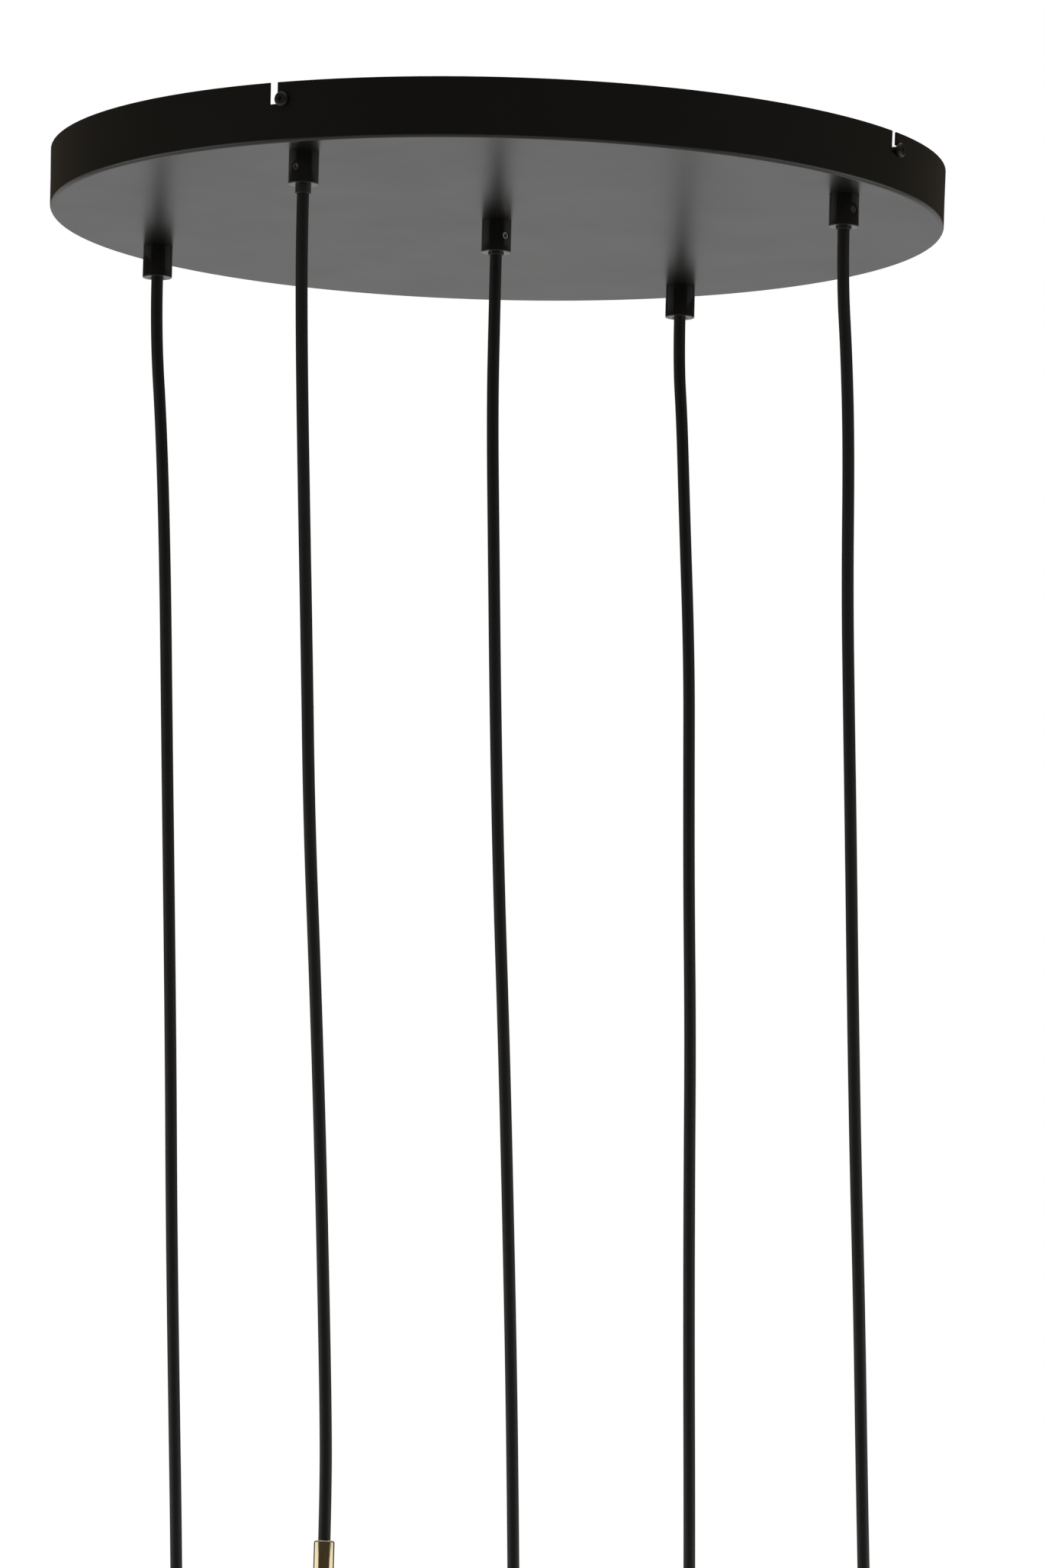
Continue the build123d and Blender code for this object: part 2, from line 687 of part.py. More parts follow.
def earth_lead():
    """Ring tag under the earth screw and its lead into the wiring box."""
    tag_z = strip_top_z
    hole = small_screw_diameter / 2 + thread_clearance
    tag = Pos(0, earth_screw_distance, 0) * tube(tag_diameter / 2, hole, tag_z,
                                                 tag_z + tag_thickness)
    start = earth_screw_distance + tag_diameter / 2
    wall = box_distance - box_depth / 2
    height = tag_z + lead_diameter / 2
    bore_height = strip_top_z + lead_hole_height
    route = [(0, start - tag_thickness, height), (0, start + tag_barrel_length, height),
             (0, wall - lead_diameter, bore_height), (0, wall + entry_reach, bore_height)]
    return tag + swept_cord(route, lead_diameter / 2)


# ---------------------------------------------------------------- writing
def group(solids):
    return Compound(children=list(solids))


parts = {
    "ceiling_bracket": ceiling_bracket(),
    "side_screws": group(side_screws()),
    "canopy_pan": canopy_pan(),
    "grip_bushes": group(grip_bush(n) for n in pendants),
    "set_screws": group(set_screw(n) for n in pendants),
    "lock_washers": group(lock_washer(n) for n in pendants),
    "lock_nuts": group(lock_nut(n) for n in pendants),
    "cord_tails": group(cord_tail(n) for n in pendants),
    "mounting_strip": mounting_strip(),
    "wiring_box": wiring_box(),
    "wiring_lid": wiring_lid(),
    "terminal_block": terminal_block(),
    "terminal_screws": group(terminal_screws()),
    "box_screws": group(box_screws()),
    "earth_lead": earth_lead(),
}
for n in pendants:
    parts[f"cord_grip_{n}"] = cord_grip(n)
    parts[f"cord_{n}"] = free_cord(n)
    parts[f"stem_tube_{n}"] = stem_tube(n)
    parts[f"stem_cord_{n}"] = stem_cord(n)
    parts[f"stem_collar_{n}"] = stem_collar(n)
    parts[f"socket_cup_{n}"] = socket_cup(n)
    parts[f"lampholder_{n}"] = lampholder(n)
    parts[f"lamp_contacts_{n}"] = group(lamp_contacts(n))
    parts[f"shade_ring_{n}"] = shade_ring(n)

os.makedirs("parts", exist_ok=True)
for name, shape in parts.items():
    export_step(shape, f"parts/{name}.step")
print(len(parts), "nodes")
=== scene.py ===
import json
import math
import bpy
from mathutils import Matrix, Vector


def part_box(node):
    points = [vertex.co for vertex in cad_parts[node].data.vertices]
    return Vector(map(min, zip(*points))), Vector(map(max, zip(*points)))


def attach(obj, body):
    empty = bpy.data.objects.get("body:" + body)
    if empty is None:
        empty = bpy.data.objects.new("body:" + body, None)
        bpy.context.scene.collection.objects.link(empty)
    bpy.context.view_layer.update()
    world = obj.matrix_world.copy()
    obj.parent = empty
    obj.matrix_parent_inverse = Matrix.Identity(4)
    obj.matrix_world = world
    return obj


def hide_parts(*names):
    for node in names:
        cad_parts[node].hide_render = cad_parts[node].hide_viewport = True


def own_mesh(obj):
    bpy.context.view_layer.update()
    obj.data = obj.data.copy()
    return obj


bl_info = {
    "name": "Cluster pendant",
    "version": (1, 0, 0),
    "blender": (4, 5, 0),
    "location": "3D View > Sidebar > Pendant",
    "description": "Dresses the packed CAD model of a ceiling pendant with five cords",
    "category": "Object",
}

import bmesh
import bpy
from bpy.props import FloatProperty, FloatVectorProperty, IntProperty, PointerProperty
from mathutils import Matrix, Vector

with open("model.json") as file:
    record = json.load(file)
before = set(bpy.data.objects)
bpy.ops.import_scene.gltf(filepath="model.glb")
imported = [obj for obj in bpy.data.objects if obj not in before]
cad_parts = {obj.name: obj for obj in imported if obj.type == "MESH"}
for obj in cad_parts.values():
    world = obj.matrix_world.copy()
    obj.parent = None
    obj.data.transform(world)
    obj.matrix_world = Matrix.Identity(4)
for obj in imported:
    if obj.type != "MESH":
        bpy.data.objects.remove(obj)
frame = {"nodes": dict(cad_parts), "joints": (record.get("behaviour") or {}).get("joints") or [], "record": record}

MM = 0.001
PENDANTS = range(1, 6)
CENTRE = 3
STORE = {}

# Depths of the threads
GRIP_THREAD_DEPTH = 0.45 * MM
SIDE_THREAD_DEPTH = 0.35 * MM
RING_THREAD_DEPTH = 0.8 * MM
SKIRT_THREAD_DEPTH = 0.6 * MM
LAMP_THREAD_DEPTH = 1.1 * MM
# Play round pieces that are screwed in, slipped on, and turned on by hand
SCREW_PLAY = 0.03 * MM
SLIP_PLAY = 0.1 * MM
HAND_PLAY = 0.2 * MM
# A side screw's cross recess: length, width and height of each bar, and its taper
RECESS = (3.6 * MM, 0.9 * MM, 2.4 * MM)
RECESS_TAPER = 0.6
# A centre contact from its fixed end to its tip: along X and down, in millimetres
LEAF_LINE = [(-6, 0), (-2.2, 0), (-1.6, -0.3), (-0.5, -2.4), (0.1, -3), (4, -3)]
# Way of each grub screw from its grip's axis, in degrees from +X
SET_SCREW_ANGLES = {1: 60, 2: -125, 3: -49, 4: 110, 5: -48}

# Each free cord's route from its grip's mouth: sideways, back and down, in millimetres
CORD_ROUTES = {
    1: [(0, 0, 0), (0, 0, 28), (4.5, 0.5, 80), (8.3, 1.2, 150), (11.6, 1.5, 235), (15, 1, 318),
        (18.3, 0.2, 402), (20.9, -0.6, 480), (24.5, -1.1, 566), (28.1, -1, 648),
        (30.9, -0.5, 730), (32.3, -0.1, 798), (32.6, 0, 842), (32.6, 0, 868)],
    2: [(0, 0, 0), (0, 0, 28), (1.6, -0.4, 82), (4.5, -1, 150), (8.2, -1.2, 232),
        (11.4, -0.6, 310), (16.4, 0.3, 388), (20.9, 1, 466), (24.8, 0.9, 545), (27.6, 0.4, 608),
        (28.3, 0, 640), (28.3, 0, 663)],
    3: [(0, 0, 0), (0, 0, 28), (0.2, 0.6, 80), (2.7, 1.3, 150), (5.6, 1.1, 232), (9.3, 0.3, 316),
        (14, -0.7, 398), (18.1, -1.3, 482), (21.9, -1.1, 566), (25, -0.3, 650), (27.6, 0.4, 734),
        (29.6, 0.6, 812), (30.4, 0.2, 872), (30.5, 0, 904), (30.5, 0, 927)],
    4: [(0, 0, 0), (0, 0, 24), (2.4, -0.3, 54), (4.7, -0.8, 100), (9, -1.2, 178),
        (10.3, -1, 240), (11.7, -0.5, 300), (14.1, 0.3, 372), (15.4, 0.9, 452), (17.1, 1, 532),
        (19.2, 0.6, 612), (20.6, 0.2, 676), (21, 0, 716), (21, 0, 743)],
    5: [(0, 0, 0), (0, 0, 26), (2.9, 0.4, 64), (5, 1, 110), (5.8, 1.3, 180), (7.7, 1, 236),
        (10.1, 0.4, 302), (12.7, -0.4, 380), (15.7, -1, 460), (19.4, -1.1, 540),
        (22.3, -0.6, 620), (25.3, -0.2, 692), (26.9, 0, 742), (27.3, 0, 778), (27.3, 0, 802)],
}
# In metres
# Each tail inside the canopy: points between its grip and its entry, from the origin
TAIL_ROUTES = {
    1: [(-112, 98, -12), (-66, 75, -15)],
    2: [(-106, -112, -13), (-98, -38, -15), (-76, 24, -15), (-62, 44, -15)],
    3: [(-13, 11, -12)],
    4: [(96, 122, -13), (72, 80, -15)],
    5: [(152, -42, -13), (112, 14, -15), (72, 46, -15)],
}
# Where each tail enters the wiring box: the wall's side along X, or 0 for the wall towards the
# camera, and how far along that wall from its middle
TAIL_ENTRIES = {
    1: (-1, 9), 2: (-1, -11), 3: (0, -22), 4: (1, 11), 5: (1, -11),
}


# ------------------------------------------------------------------ properties
def length(name, description, millimetres):
    return FloatProperty(name=name, description=description, default=millimetres * MM,
                         subtype="DISTANCE", unit="LENGTH", precision=5)


def count(name, description, default):
    return IntProperty(name=name, description=description, default=default, min=1)


def angle(name, description, radians):
    return FloatProperty(name=name, description=description, default=radians, unit="ROTATION")


def share(name, description, default, most=1):
    return FloatProperty(name=name, description=description, default=default, min=0, max=most)


def colour(name, description, default):
    return FloatVectorProperty(name=name, description=description, default=default,
                               subtype="COLOR", size=3, min=0, max=1)


class PendantSizes(bpy.types.PropertyGroup):
    """Sizes of the pieces that are modelled here."""

    cord_diameter: length("Cord", "Across a cord's sheath", 6)
    cord_sides: count("Cord sides", "Facets round a cord", 24)
    tail_gap: length("Tail gap", "Between a tail and its free cord, inside the bush", 0.3)
    tail_rise: length("Tail rise", "Of a tail's bend above its grip", 12)
    tail_bend: length("Tail bend", "Radius over its grip", 9)
    entry_depth: length("Entry depth", "Of a tail below the wiring box's rim", 4)
    entry_lead: length("Entry lead", "Straight run before the box", 12)
    entry_reach: length("Entry reach", "Of a tail inside the box", 8)

    grip_diameter: length("Grip", "Across a cord grip's body", 15)
    grip_length: length("Grip length", "Of the body below the canopy", 16)
    grip_thread: length("Grip thread", "Across the thread above the body", 10)
    grip_pitch: length("Grip pitch", "Of the fine thread", 1)
    grip_seat: length("Bush seat", "Depth of the grip's wide bore", 12)
    grip_wide_bore: length("Wide bore", "Round the bush", 8)
    grip_cord_bore: length("Cord bore", "Round the cord", 6.4)
    bush_diameter: length("Bush", "Across a bush", 7.8)
    bush_wall: length("Bush wall", "Thickness of a bush", 0.8)
    set_screw_diameter: length("Set screw", "Across a grip's grub screw", 4)
    set_screw_length: length("Set screw length", "From its cup to its socket", 2.9)
    set_screw_key: length("Set screw key", "Across the socket's flats", 2)
    set_screw_height: length("Set screw height", "Above the grip's mouth", 8)
    nut_flats: length("Nut", "Across a lock nut's flats", 14)
    nut_height: length("Nut height", "Of a lock nut", 3)
    washer_diameter: length("Washer", "Across a washer", 18)
    washer_thickness: length("Washer thickness", "Of a washer", 0.8)
    canopy_wall: length("Canopy wall", "Thickness of the canopy's sheet", 1)
    strip_thickness: length("Strip", "Thickness of the strip under the centre washer", 1)

    side_screw_diameter: length("Side screw", "Across the shank", 4)
    side_screw_pitch: length("Side screw pitch", "Of its thread", 0.7)
    side_screw_length: length("Side screw length", "Under its head", 11.3)
    side_screw_head: length("Side screw head", "Across the head", 7.4)
    side_screw_rise: length("Head height", "Of a side screw", 2.2)
    side_screw_seat: length("Head seat", "From the canopy's axis to the head's foot", 225.59)
    side_screw_offset: length("Screw offset", "Beside its grip's radius", 3.1)
    side_screw_drop: length("Screw drop", "Below the ceiling", 9.65)

    stem_diameter: length("Stem", "Across a stem", 10)
    stem_wall: length("Stem wall", "Thickness of the tube", 1)
    stem_length: length("Stem length", "From its lip to its end in the cup", 100)
    stem_lip: length("Stem lip", "Depth of the lip round the cord", 1.5)
    collar_diameter: length("Collar", "Across the knurled nut on a cup", 16)
    collar_height: length("Collar height", "Of the knurled nut", 6)
    cup_diameter: length("Cup", "Across a socket cup", 44)
    cup_height: length("Cup height", "Of a socket cup", 30)
    cup_wall: length("Cup wall", "Thickness of a cup", 1)
    cup_shoulder: length("Cup shoulder", "Radius of its shoulder", 8)

    holder_flange: length("Holder flange", "Height of the edge below the cup", 2)
    holder_thread: length("Ring thread", "Across the holder's upper thread", 40.6)
    skirt_diameter: length("Skirt", "Across the holder below the ring", 39.6)
    skirt_length: length("Skirt length", "Below the flange", 28)
    holder_pitch: length("Holder pitch", "Of the ring's thread", 2)
    holder_mouth: length("Mouth", "Across the holder's mouth", 33)
    mouth_depth: length("Mouth depth", "Of the wide mouth", 4)
    shell_bore: length("Shell bore", "Crest to crest of the lamp's thread", 26.6)
    shell_wall: length("Shell wall", "Thickness of the shell", 0.4)
    shell_length: length("Shell length", "Below its flange", 24)
    shell_neck: length("Shell neck", "Height of the plain neck", 5)
    shell_neck_bore: length("Neck bore", "Across the plain neck", 24)
    shell_flange_bore: length("Flange bore", "Of the flange on the carrier", 16)
    lamp_pitch: length("Lamp pitch", "Of the lamp's thread", 3.629)
    leaf_width: length("Leaf width", "Of the centre contact", 4)
    leaf_thickness: length("Leaf thickness", "Of the centre contact", 0.5)
    ring_diameter: length("Shade ring", "Across its flange", 54)
    ring_height: length("Ring height", "Of a shade ring", 8)
    ring_flange: length("Ring flange", "Height of its flange", 2.5)
    ring_wall: length("Ring wall", "Below its flange", 3)
    ring_gap: length("Ring gap", "Below the holder's flange", 2)
    pattern_angle: angle("Pattern angle", "Of the first outer grip, from +X", math.radians(61))


class PendantColours(bpy.types.PropertyGroup):
    """Colours of the finishes."""

    canopy: colour("Canopy", "Satin black paint", (0.0052, 0.0046, 0.0038))
    grip: colour("Grips", "Smooth black paint", (0.006, 0.006, 0.0055))
    screw: colour("Side screws", "Blackened steel", (0.008, 0.008, 0.0075))
    cord: colour("Cords", "Matt black sheath", (0.0060, 0.0058, 0.0050))
    brass: colour("Brass", "Polished pale brass", (0.78, 0.66, 0.42))
    nickel: colour("Nickel", "Plating on screws and contacts", (0.45, 0.43, 0.40))
    zinc: colour("Zinc", "Plating on bracket, strip and washers", (0.55, 0.56, 0.57))
    holder: colour("Lampholder", "Black moulded thermoset", (0.012, 0.012, 0.012))
    white: colour("Wiring box", "Moulded light plastic", (0.80, 0.80, 0.77))
    green: colour("Earth lead", "Green of the sheath", (0.03, 0.20, 0.03))
    yellow: colour("Earth stripe", "Yellow of the sheath", (0.72, 0.58, 0.03))


class PendantStage(bpy.types.PropertyGroup):
    """Camera, lights and background."""

    camera_distance: length("Distance", "In front of the canopy's centre", 7094.1)
    camera_drop: length("Drop", "Below the ceiling", 1345.8)
    camera_pitch: angle("Pitch", "Upwards", 0.14407)
    camera_yaw: angle("Yaw", "To the right", 0.00283)
    camera_roll: angle("Roll", "Anticlockwise", 0.0251659)
    camera_lens: FloatProperty(name="Lens", description="Focal length on a 36 mm sensor",
                               default=328.9, unit="CAMERA")
    floor_drop: length("Floor", "Below the ceiling", 1900)
    floor_radius: length("Floor radius", "Of the pale round floor", 3000)
    front_glow: share("Front glow", "Light that gloss shows on the camera's side", 0.055)
    front_tint: colour("Front tint", "Of that light", (1.0, 0.84, 0.60))
    back_glow: share("Back glow", "White that gloss shows low down behind the object", 0.56)
    fill: share("Fill", "Of the world's plain light", 0.6, 4)
    lamp_power: FloatProperty(name="Lamp power", default=8.0, min=0, unit="POWER",
                              description="Of each soft lamp")
    lamp_width: length("Lamp width", "Of each soft lamp", 2200)
    lamp_height: length("Lamp height", "Of each soft lamp", 1000)


# ------------------------------------------------------------------ shader maths
class Wire:
    """A node's output, on which plain arithmetic adds Math nodes."""

    def __init__(self, tree, socket):
        self.tree = tree
        self.socket = socket

    def maths(self, operation, *values):
        return self.tree.node("ShaderNodeMath", {"operation": operation},
                              dict(enumerate(values)))

    def __add__(self, other):
        return self.maths("ADD", self, other)

    def __rsub__(self, other):
        return self.maths("SUBTRACT", other, self)

    def __mul__(self, other):
        return self.maths("MULTIPLY", self, other)

    def __gt__(self, other):
        return self.maths("GREATER_THAN", self, other)

    __radd__ = __add__
    __rmul__ = __mul__

    def part(self, axis):
        """X, Y or Z of a vector."""
        return self.tree.node("ShaderNodeSeparateXYZ", {}, {0: self}, axis)

    def wave(self):
        return self.maths("SINE", self)


class NodeTree:
    """A node tree with one way of making nodes."""

    def __init__(self, owner):
        owner.use_nodes = True
        self.nodes = owner.node_tree.nodes
        self.links = owner.node_tree.links
        self.nodes.clear()

    def node(self, kind, settings=None, inputs=None, output=0):
        made = self.nodes.new(kind)
        for name, value in (settings or {}).items():
            setattr(made, name, value)
        for name, value in (inputs or {}).items():
            if isinstance(value, Wire):
                self.links.new(value.socket, made.inputs[name])
            else:
                made.inputs[name].default_value = value
        return Wire(self, made.outputs[output])

    def place(self):
        return self.node("ShaderNodeTexCoord", {}, {}, "Object")

    def grain(self, size, detail=2.0, stretch=(1, 1, 1)):
        """Noise about 0.5 whose lumps are about size across, in metres."""
        spot = self.node("ShaderNodeMapping", {}, {"Vector": self.place(), "Scale": stretch})
        return self.node("ShaderNodeTexNoise", {}, {"Vector": spot, "Scale": 1 / size,
                                                    "Detail": detail})

    def mix(self, factor, first, second):
        return self.node("ShaderNodeMix", {"data_type": "RGBA"},
                         {0: factor, 6: first, 7: second}, 2)

    def fade(self, value, dark, light):
        """0 at the dark value and 1 at the light one, with soft ends."""
        return self.node("ShaderNodeMapRange", {"interpolation_type": "SMOOTHSTEP"}, {
            "Value": value, "From Min": dark, "From Max": light})

    def bump(self, height, distance):
        return self.node("ShaderNodeBump", {}, {"Height": height, "Distance": distance})

    def finish(self, **inputs):
        surface = self.node("ShaderNodeBsdfPrincipled", {}, {
            name.replace("_", " "): value for name, value in inputs.items()})
        self.end(surface)

    def end(self, surface, kind="ShaderNodeOutputMaterial"):
        self.links.new(surface.socket, self.nodes.new(kind).inputs["Surface"])

    def rays(self):
        """1 for rays from the camera, from gloss and through glass."""
        path = self.node("ShaderNodeLightPath").socket.node
        return [Wire(self, path.outputs[f"Is {kind} Ray"])
                for kind in ("Camera", "Glossy", "Transmission")]


def rgba(shade, factor=1.0):
    return (*(channel * factor for channel in shade), 1)


def new_material(name):
    made = bpy.data.materials.new(name)
    return made, NodeTree(made)


# ------------------------------------------------------------------ finishes
def clouded(name, shade, cloud, contrast, gloss, grain=None):
    """Paint or plastic, by pairs: the clouds' size and detail, the darkest and palest share of
    the shade, the roughness and what the clouds add, and the size and relief of a fine grain."""
    made, tree = new_material(name)
    lumps = tree.grain(*cloud)
    more = {"Normal": tree.bump(tree.grain(grain[0], 1.0), grain[1])} if grain else {}
    tree.finish(
        Base_Color=tree.mix(lumps, *(rgba(shade, part) for part in contrast)),
        Roughness=gloss[0] + lumps * gloss[1], **more)
    return made


def plated(name, shade, size, rough, spread, stretch=(1, 1, 1), relief=0.000004):
    """Bright plating whose polish runs along the axis that stretch leaves long."""
    made, tree = new_material(name)
    grain = tree.grain(size, 3.0, stretch)
    tree.finish(
        Base_Color=tree.mix(grain, rgba(shade, 0.85), rgba(shade, 1.1)),
        Metallic=1.0, Roughness=rough + grain * spread,
        Normal=tree.bump(grain, relief))
    return made


def cord_sheath(colours):
    made, tree = new_material("cord_sheath")
    cloud = tree.grain(0.012, 3.0)
    grain = tree.grain(0.0007, 2.0, (1, 1, 0.15))
    tree.finish(
        Base_Color=tree.mix(cloud, rgba(colours.cord, 0.8), rgba(colours.cord, 1.2)),
        Roughness=0.42 + grain * 0.2,
        Normal=tree.bump(grain, 0.00003))
    return made


def moulded(name, shade, rough, relief):
    return clouded(name, shade, (0.01, 2.0), (0.92, 1.06), (rough, 0.1), (0.0005, relief))


def striped_lead(colours):
    made, tree = new_material("striped_lead")
    turn = tree.place().part("X") * 2600.0
    tree.finish(
        Base_Color=tree.mix(turn.wave() > 0.2, rgba(colours.green), rgba(colours.yellow)),
        Roughness=0.35 + tree.grain(0.003) * 0.1)
    return made


def make_finishes():
    """Materials by the record's slot names."""
    colours = bpy.context.scene.pendant_colours
    return {
        "black_canopy": clouded("satin_black_paint", colours.canopy, (0.05, 3.0), (0.85, 1.15),
                                (0.27, 0.06), (0.0011, 0.00002)),
        "black_grip": clouded("smooth_black_paint", colours.grip, (0.004, 2.0), (0.8, 1.2),
                              (0.14, 0.08), (0.0006, 0.000004)),
        "black_screw": clouded("blackened_steel", colours.screw, (0.002, 3.0), (0.7, 1.3),
                               (0.3, 0.15)),
        "zinc_steel": plated("zinc_steel", colours.zinc, 0.004, 0.28, 0.2),
        "nickel": plated("nickel", colours.nickel, 0.001, 0.12, 0.12),
        "brass_nut": plated("brass_nut", (0.70, 0.54, 0.26), 0.001, 0.2, 0.15, (1, 1, 6)),
        "brass": plated("brass", colours.brass, 0.0015, 0.09, 0.04, (1, 1, 0.08), 0.0000005),
        "nickel_brass": plated("nickel_brass", (0.70, 0.64, 0.48), 0.0012, 0.16, 0.12),
        "black_cord": cord_sheath(colours),
        "black_plastic": moulded("black_plastic", colours.holder, 0.3, 0.00001),
        "black_holder": moulded("black_holder", colours.holder, 0.2, 0.000006),
        "white_plastic": moulded("white_plastic", colours.white, 0.35, 0.00001),
        "clear_plastic": moulded("clear_plastic", (0.70, 0.72, 0.70), 0.25, 0.000006),
        "green_lead": striped_lead(colours),
    }


def finish_of(slot):
    if "finishes" not in STORE:
        STORE["finishes"] = make_finishes()
    return STORE["finishes"][slot]


# ------------------------------------------------------------------ modelling helpers
def deselect_all():
    for thing in bpy.context.selected_objects:
        thing.select_set(False)


def pick(piece):
    deselect_all()
    piece.select_set(True)
    bpy.context.view_layer.objects.active = piece


def added(name, data):
    """New object in the scene."""
    made = bpy.data.objects.new(name, data)
    bpy.context.scene.collection.objects.link(made)
    return made


def fresh(name):
    """The object that was just made, with its place and size moved into its mesh."""
    piece = bpy.context.object
    piece.name = name
    bpy.ops.object.transform_apply(location=True, rotation=True, scale=True)
    return piece


def rounded(corners):
    """Outline with an arc at each corner of radius, height and rounding."""
    points = []
    for k, (radius, height, rounding) in enumerate(corners):
        here = Vector((radius, height))
        if not rounding:
            points.append(here)
            continue
        back = (Vector(corners[k - 1][:2]) - here).normalized()
        ahead = (Vector(corners[(k + 1) % len(corners)][:2]) - here).normalized()
        half = back.angle(ahead) / 2
        centre = here + (back + ahead).normalized() * rounding / math.sin(half)
        first, last = (here + way * rounding / math.tan(half) - centre for way in (back, ahead))
        steps = 3 + int(rounding / MM * 1.5)
        points += [centre + first.lerp(last, step / steps).normalized() * rounding
                   for step in range(steps + 1)]
    return points


def stretch(radius, start, end, spacing):
    """Corners along a straight stretch, close enough to carry a thread or a knurl."""
    steps = math.ceil(abs(end - start) / spacing)
    return [(radius, start + (end - start) * k / steps, 0) for k in range(steps + 1)]


def turned(name, corners, sides=96, closed=True):
    """Piece turned about Z at the origin; an open outline gets a flat face at each end."""
    outline = rounded(corners)
    deselect_all()
    bpy.ops.mesh.primitive_circle_add(vertices=sides, radius=outline[0].x,
                                      location=(0, 0, outline[0].y))
    piece = fresh(name)
    bpy.ops.object.mode_set(mode="EDIT")
    bpy.ops.mesh.select_all(action="SELECT")
    for before, here in zip(outline, outline[1:]):
        bpy.ops.mesh.extrude_region_move(
            TRANSFORM_OT_translate={"value": (0, 0, here.y - before.y)})
        ratio = here.x / before.x
        bpy.ops.transform.resize(value=(ratio, ratio, 1), center_override=(0, 0, here.y))
    if closed:
        bpy.ops.mesh.select_all(action="DESELECT")
        bpy.ops.mesh.select_non_manifold()
        bpy.ops.mesh.bridge_edge_loops()
    else:
        bpy.ops.mesh.select_all(action="SELECT")
        bpy.ops.mesh.fill_holes(sides=0)
    bpy.ops.mesh.select_all(action="SELECT")
    bpy.ops.mesh.normals_make_consistent(inside=False)
    bpy.ops.object.mode_set(mode="OBJECT")
    return piece


def smooth(piece, degrees=35):
    pick(piece)
    bpy.ops.object.shade_smooth_by_angle(angle=math.radians(degrees))
    return piece


def sharp_wave(turns):
    """1 at each whole turn and 0 halfway, in straight lines."""
    return abs(2 * (turns % 1) - 1)


def round_wave(turns):
    """1 at each whole turn and 0 halfway, in a curve."""
    return 0.5 + 0.5 * math.cos(math.tau * turns)


def sink(piece, radius, low, high, depth_at):
    """Moves the vertices at a radius inwards by a depth worked out from turn and height."""
    for vertex in piece.data.vertices:
        x, y, z = vertex.co
        here = math.hypot(x, y)
        if abs(here - radius) < 0.01 * MM and low < z < high:
            ratio = 1 - depth_at(math.atan2(y, x) / math.tau, z) / here
            vertex.co.x, vertex.co.y = x * ratio, y * ratio


def thread(piece, radius, low, high, pitch, depth, wave=sharp_wave):
    """Right-hand screw thread that runs out at both ends."""
    def depth_at(turn, z):
        fade = min(1, (z - low) / pitch, (high - z) / pitch)
        return depth * fade * (1 - wave(z / pitch - turn))
    sink(piece, radius, low, high, depth_at)


def knurl(piece, radius, low, high, ridges, depth, crossed=True):
    """Ridges along Z, or two sets that cross at right angles."""
    lean = ridges / (math.tau * radius) if crossed else 0

    def depth_at(turn, z):
        ways = (sharp_wave(ridges * turn + side * lean * z) for side in (-1, 1))
        return depth * (1 - min(ways))
    sink(piece, radius, low, high, depth_at)


def carve(piece, cutter, operation="DIFFERENCE"):
    """Cuts a piece with another one, which is used up."""
    modifier = piece.modifiers.new("carve", "BOOLEAN")
    modifier.object = cutter
    modifier.operation = operation
    modifier.solver = "EXACT"
    pick(piece)
    bpy.ops.object.modifier_apply(modifier=modifier.name)
    bpy.data.objects.remove(cutter)
    # A cut along an edge leaves faces without area, which would open the mesh
    mesh = bmesh.new()
    mesh.from_mesh(piece.data)
    bmesh.ops.dissolve_degenerate(mesh, dist=0.001 * MM, edges=mesh.edges)
    mesh.to_mesh(piece.data)
    mesh.free()
    return piece


def prism(name, sides, radius, low, high):
    """Prism or round bar about Z, its first corner on +X."""
    deselect_all()
    bpy.ops.mesh.primitive_cylinder_add(vertices=sides, radius=radius, depth=high - low,
                                        location=(0, 0, (low + high) / 2),
                                        rotation=(0, 0, math.pi / 2))
    return fresh(name)


def copies(piece, places):
    """One copy of the piece, with its own mesh, moved by each matrix."""
    made = []
    for k, place in enumerate(places, 1):
        copy = added(f"{piece.name}_{k}", piece.data.copy())
        copy.data.transform(place)
        made.append(copy)
    bpy.data.objects.remove(piece)
    return made


def joined(name, pieces):
    pick(pieces[0])
    for piece in pieces:
        piece.select_set(True)
    bpy.ops.object.join()
    pieces[0].name = name
    return pieces[0]


def give(piece, slot, body=None, nodes=()):
    """Finish, body and replaced nodes of a piece that is in place."""
    piece.data.materials.clear()
    piece.data.materials.append(finish_of(slot))
    if body:
        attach(piece, body)
    if nodes:
        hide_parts(*nodes)
    return piece


def at(point):
    """Place given in millimetres."""
    return Vector([part * MM for part in point])


def joint(name):
    return next(row for row in frame["joints"] if row["name"] == name)


def mouth(n):
    """Point at which pendant n's cord leaves its bush."""
    return Vector(joint(f"pendant_{n}_swing")["pos_m"])


def end_of(node, upper=True):
    """Centre of the upper or lower end of a CAD node's box."""
    low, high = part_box(node)
    return Vector(((low.x + high.x) / 2, (low.y + high.y) / 2, high.z if upper else low.z))


def grip_foot(n):
    return end_of(f"cord_grip_{n}", upper=False)


def moved(places):
    return [Matrix.Translation(place) for place in places]


def dress_lamps(piece, slot, node, seat="socket_cup_{}"):
    """A copy of the piece at the top of each pendant's seat, instead of its own CAD node."""
    tops = moved(end_of(seat.format(n)) for n in PENDANTS)
    for n, copy in zip(PENDANTS, copies(piece, tops)):
        give(copy, slot, f"pendant_{n}_lamp", [node.format(n)])


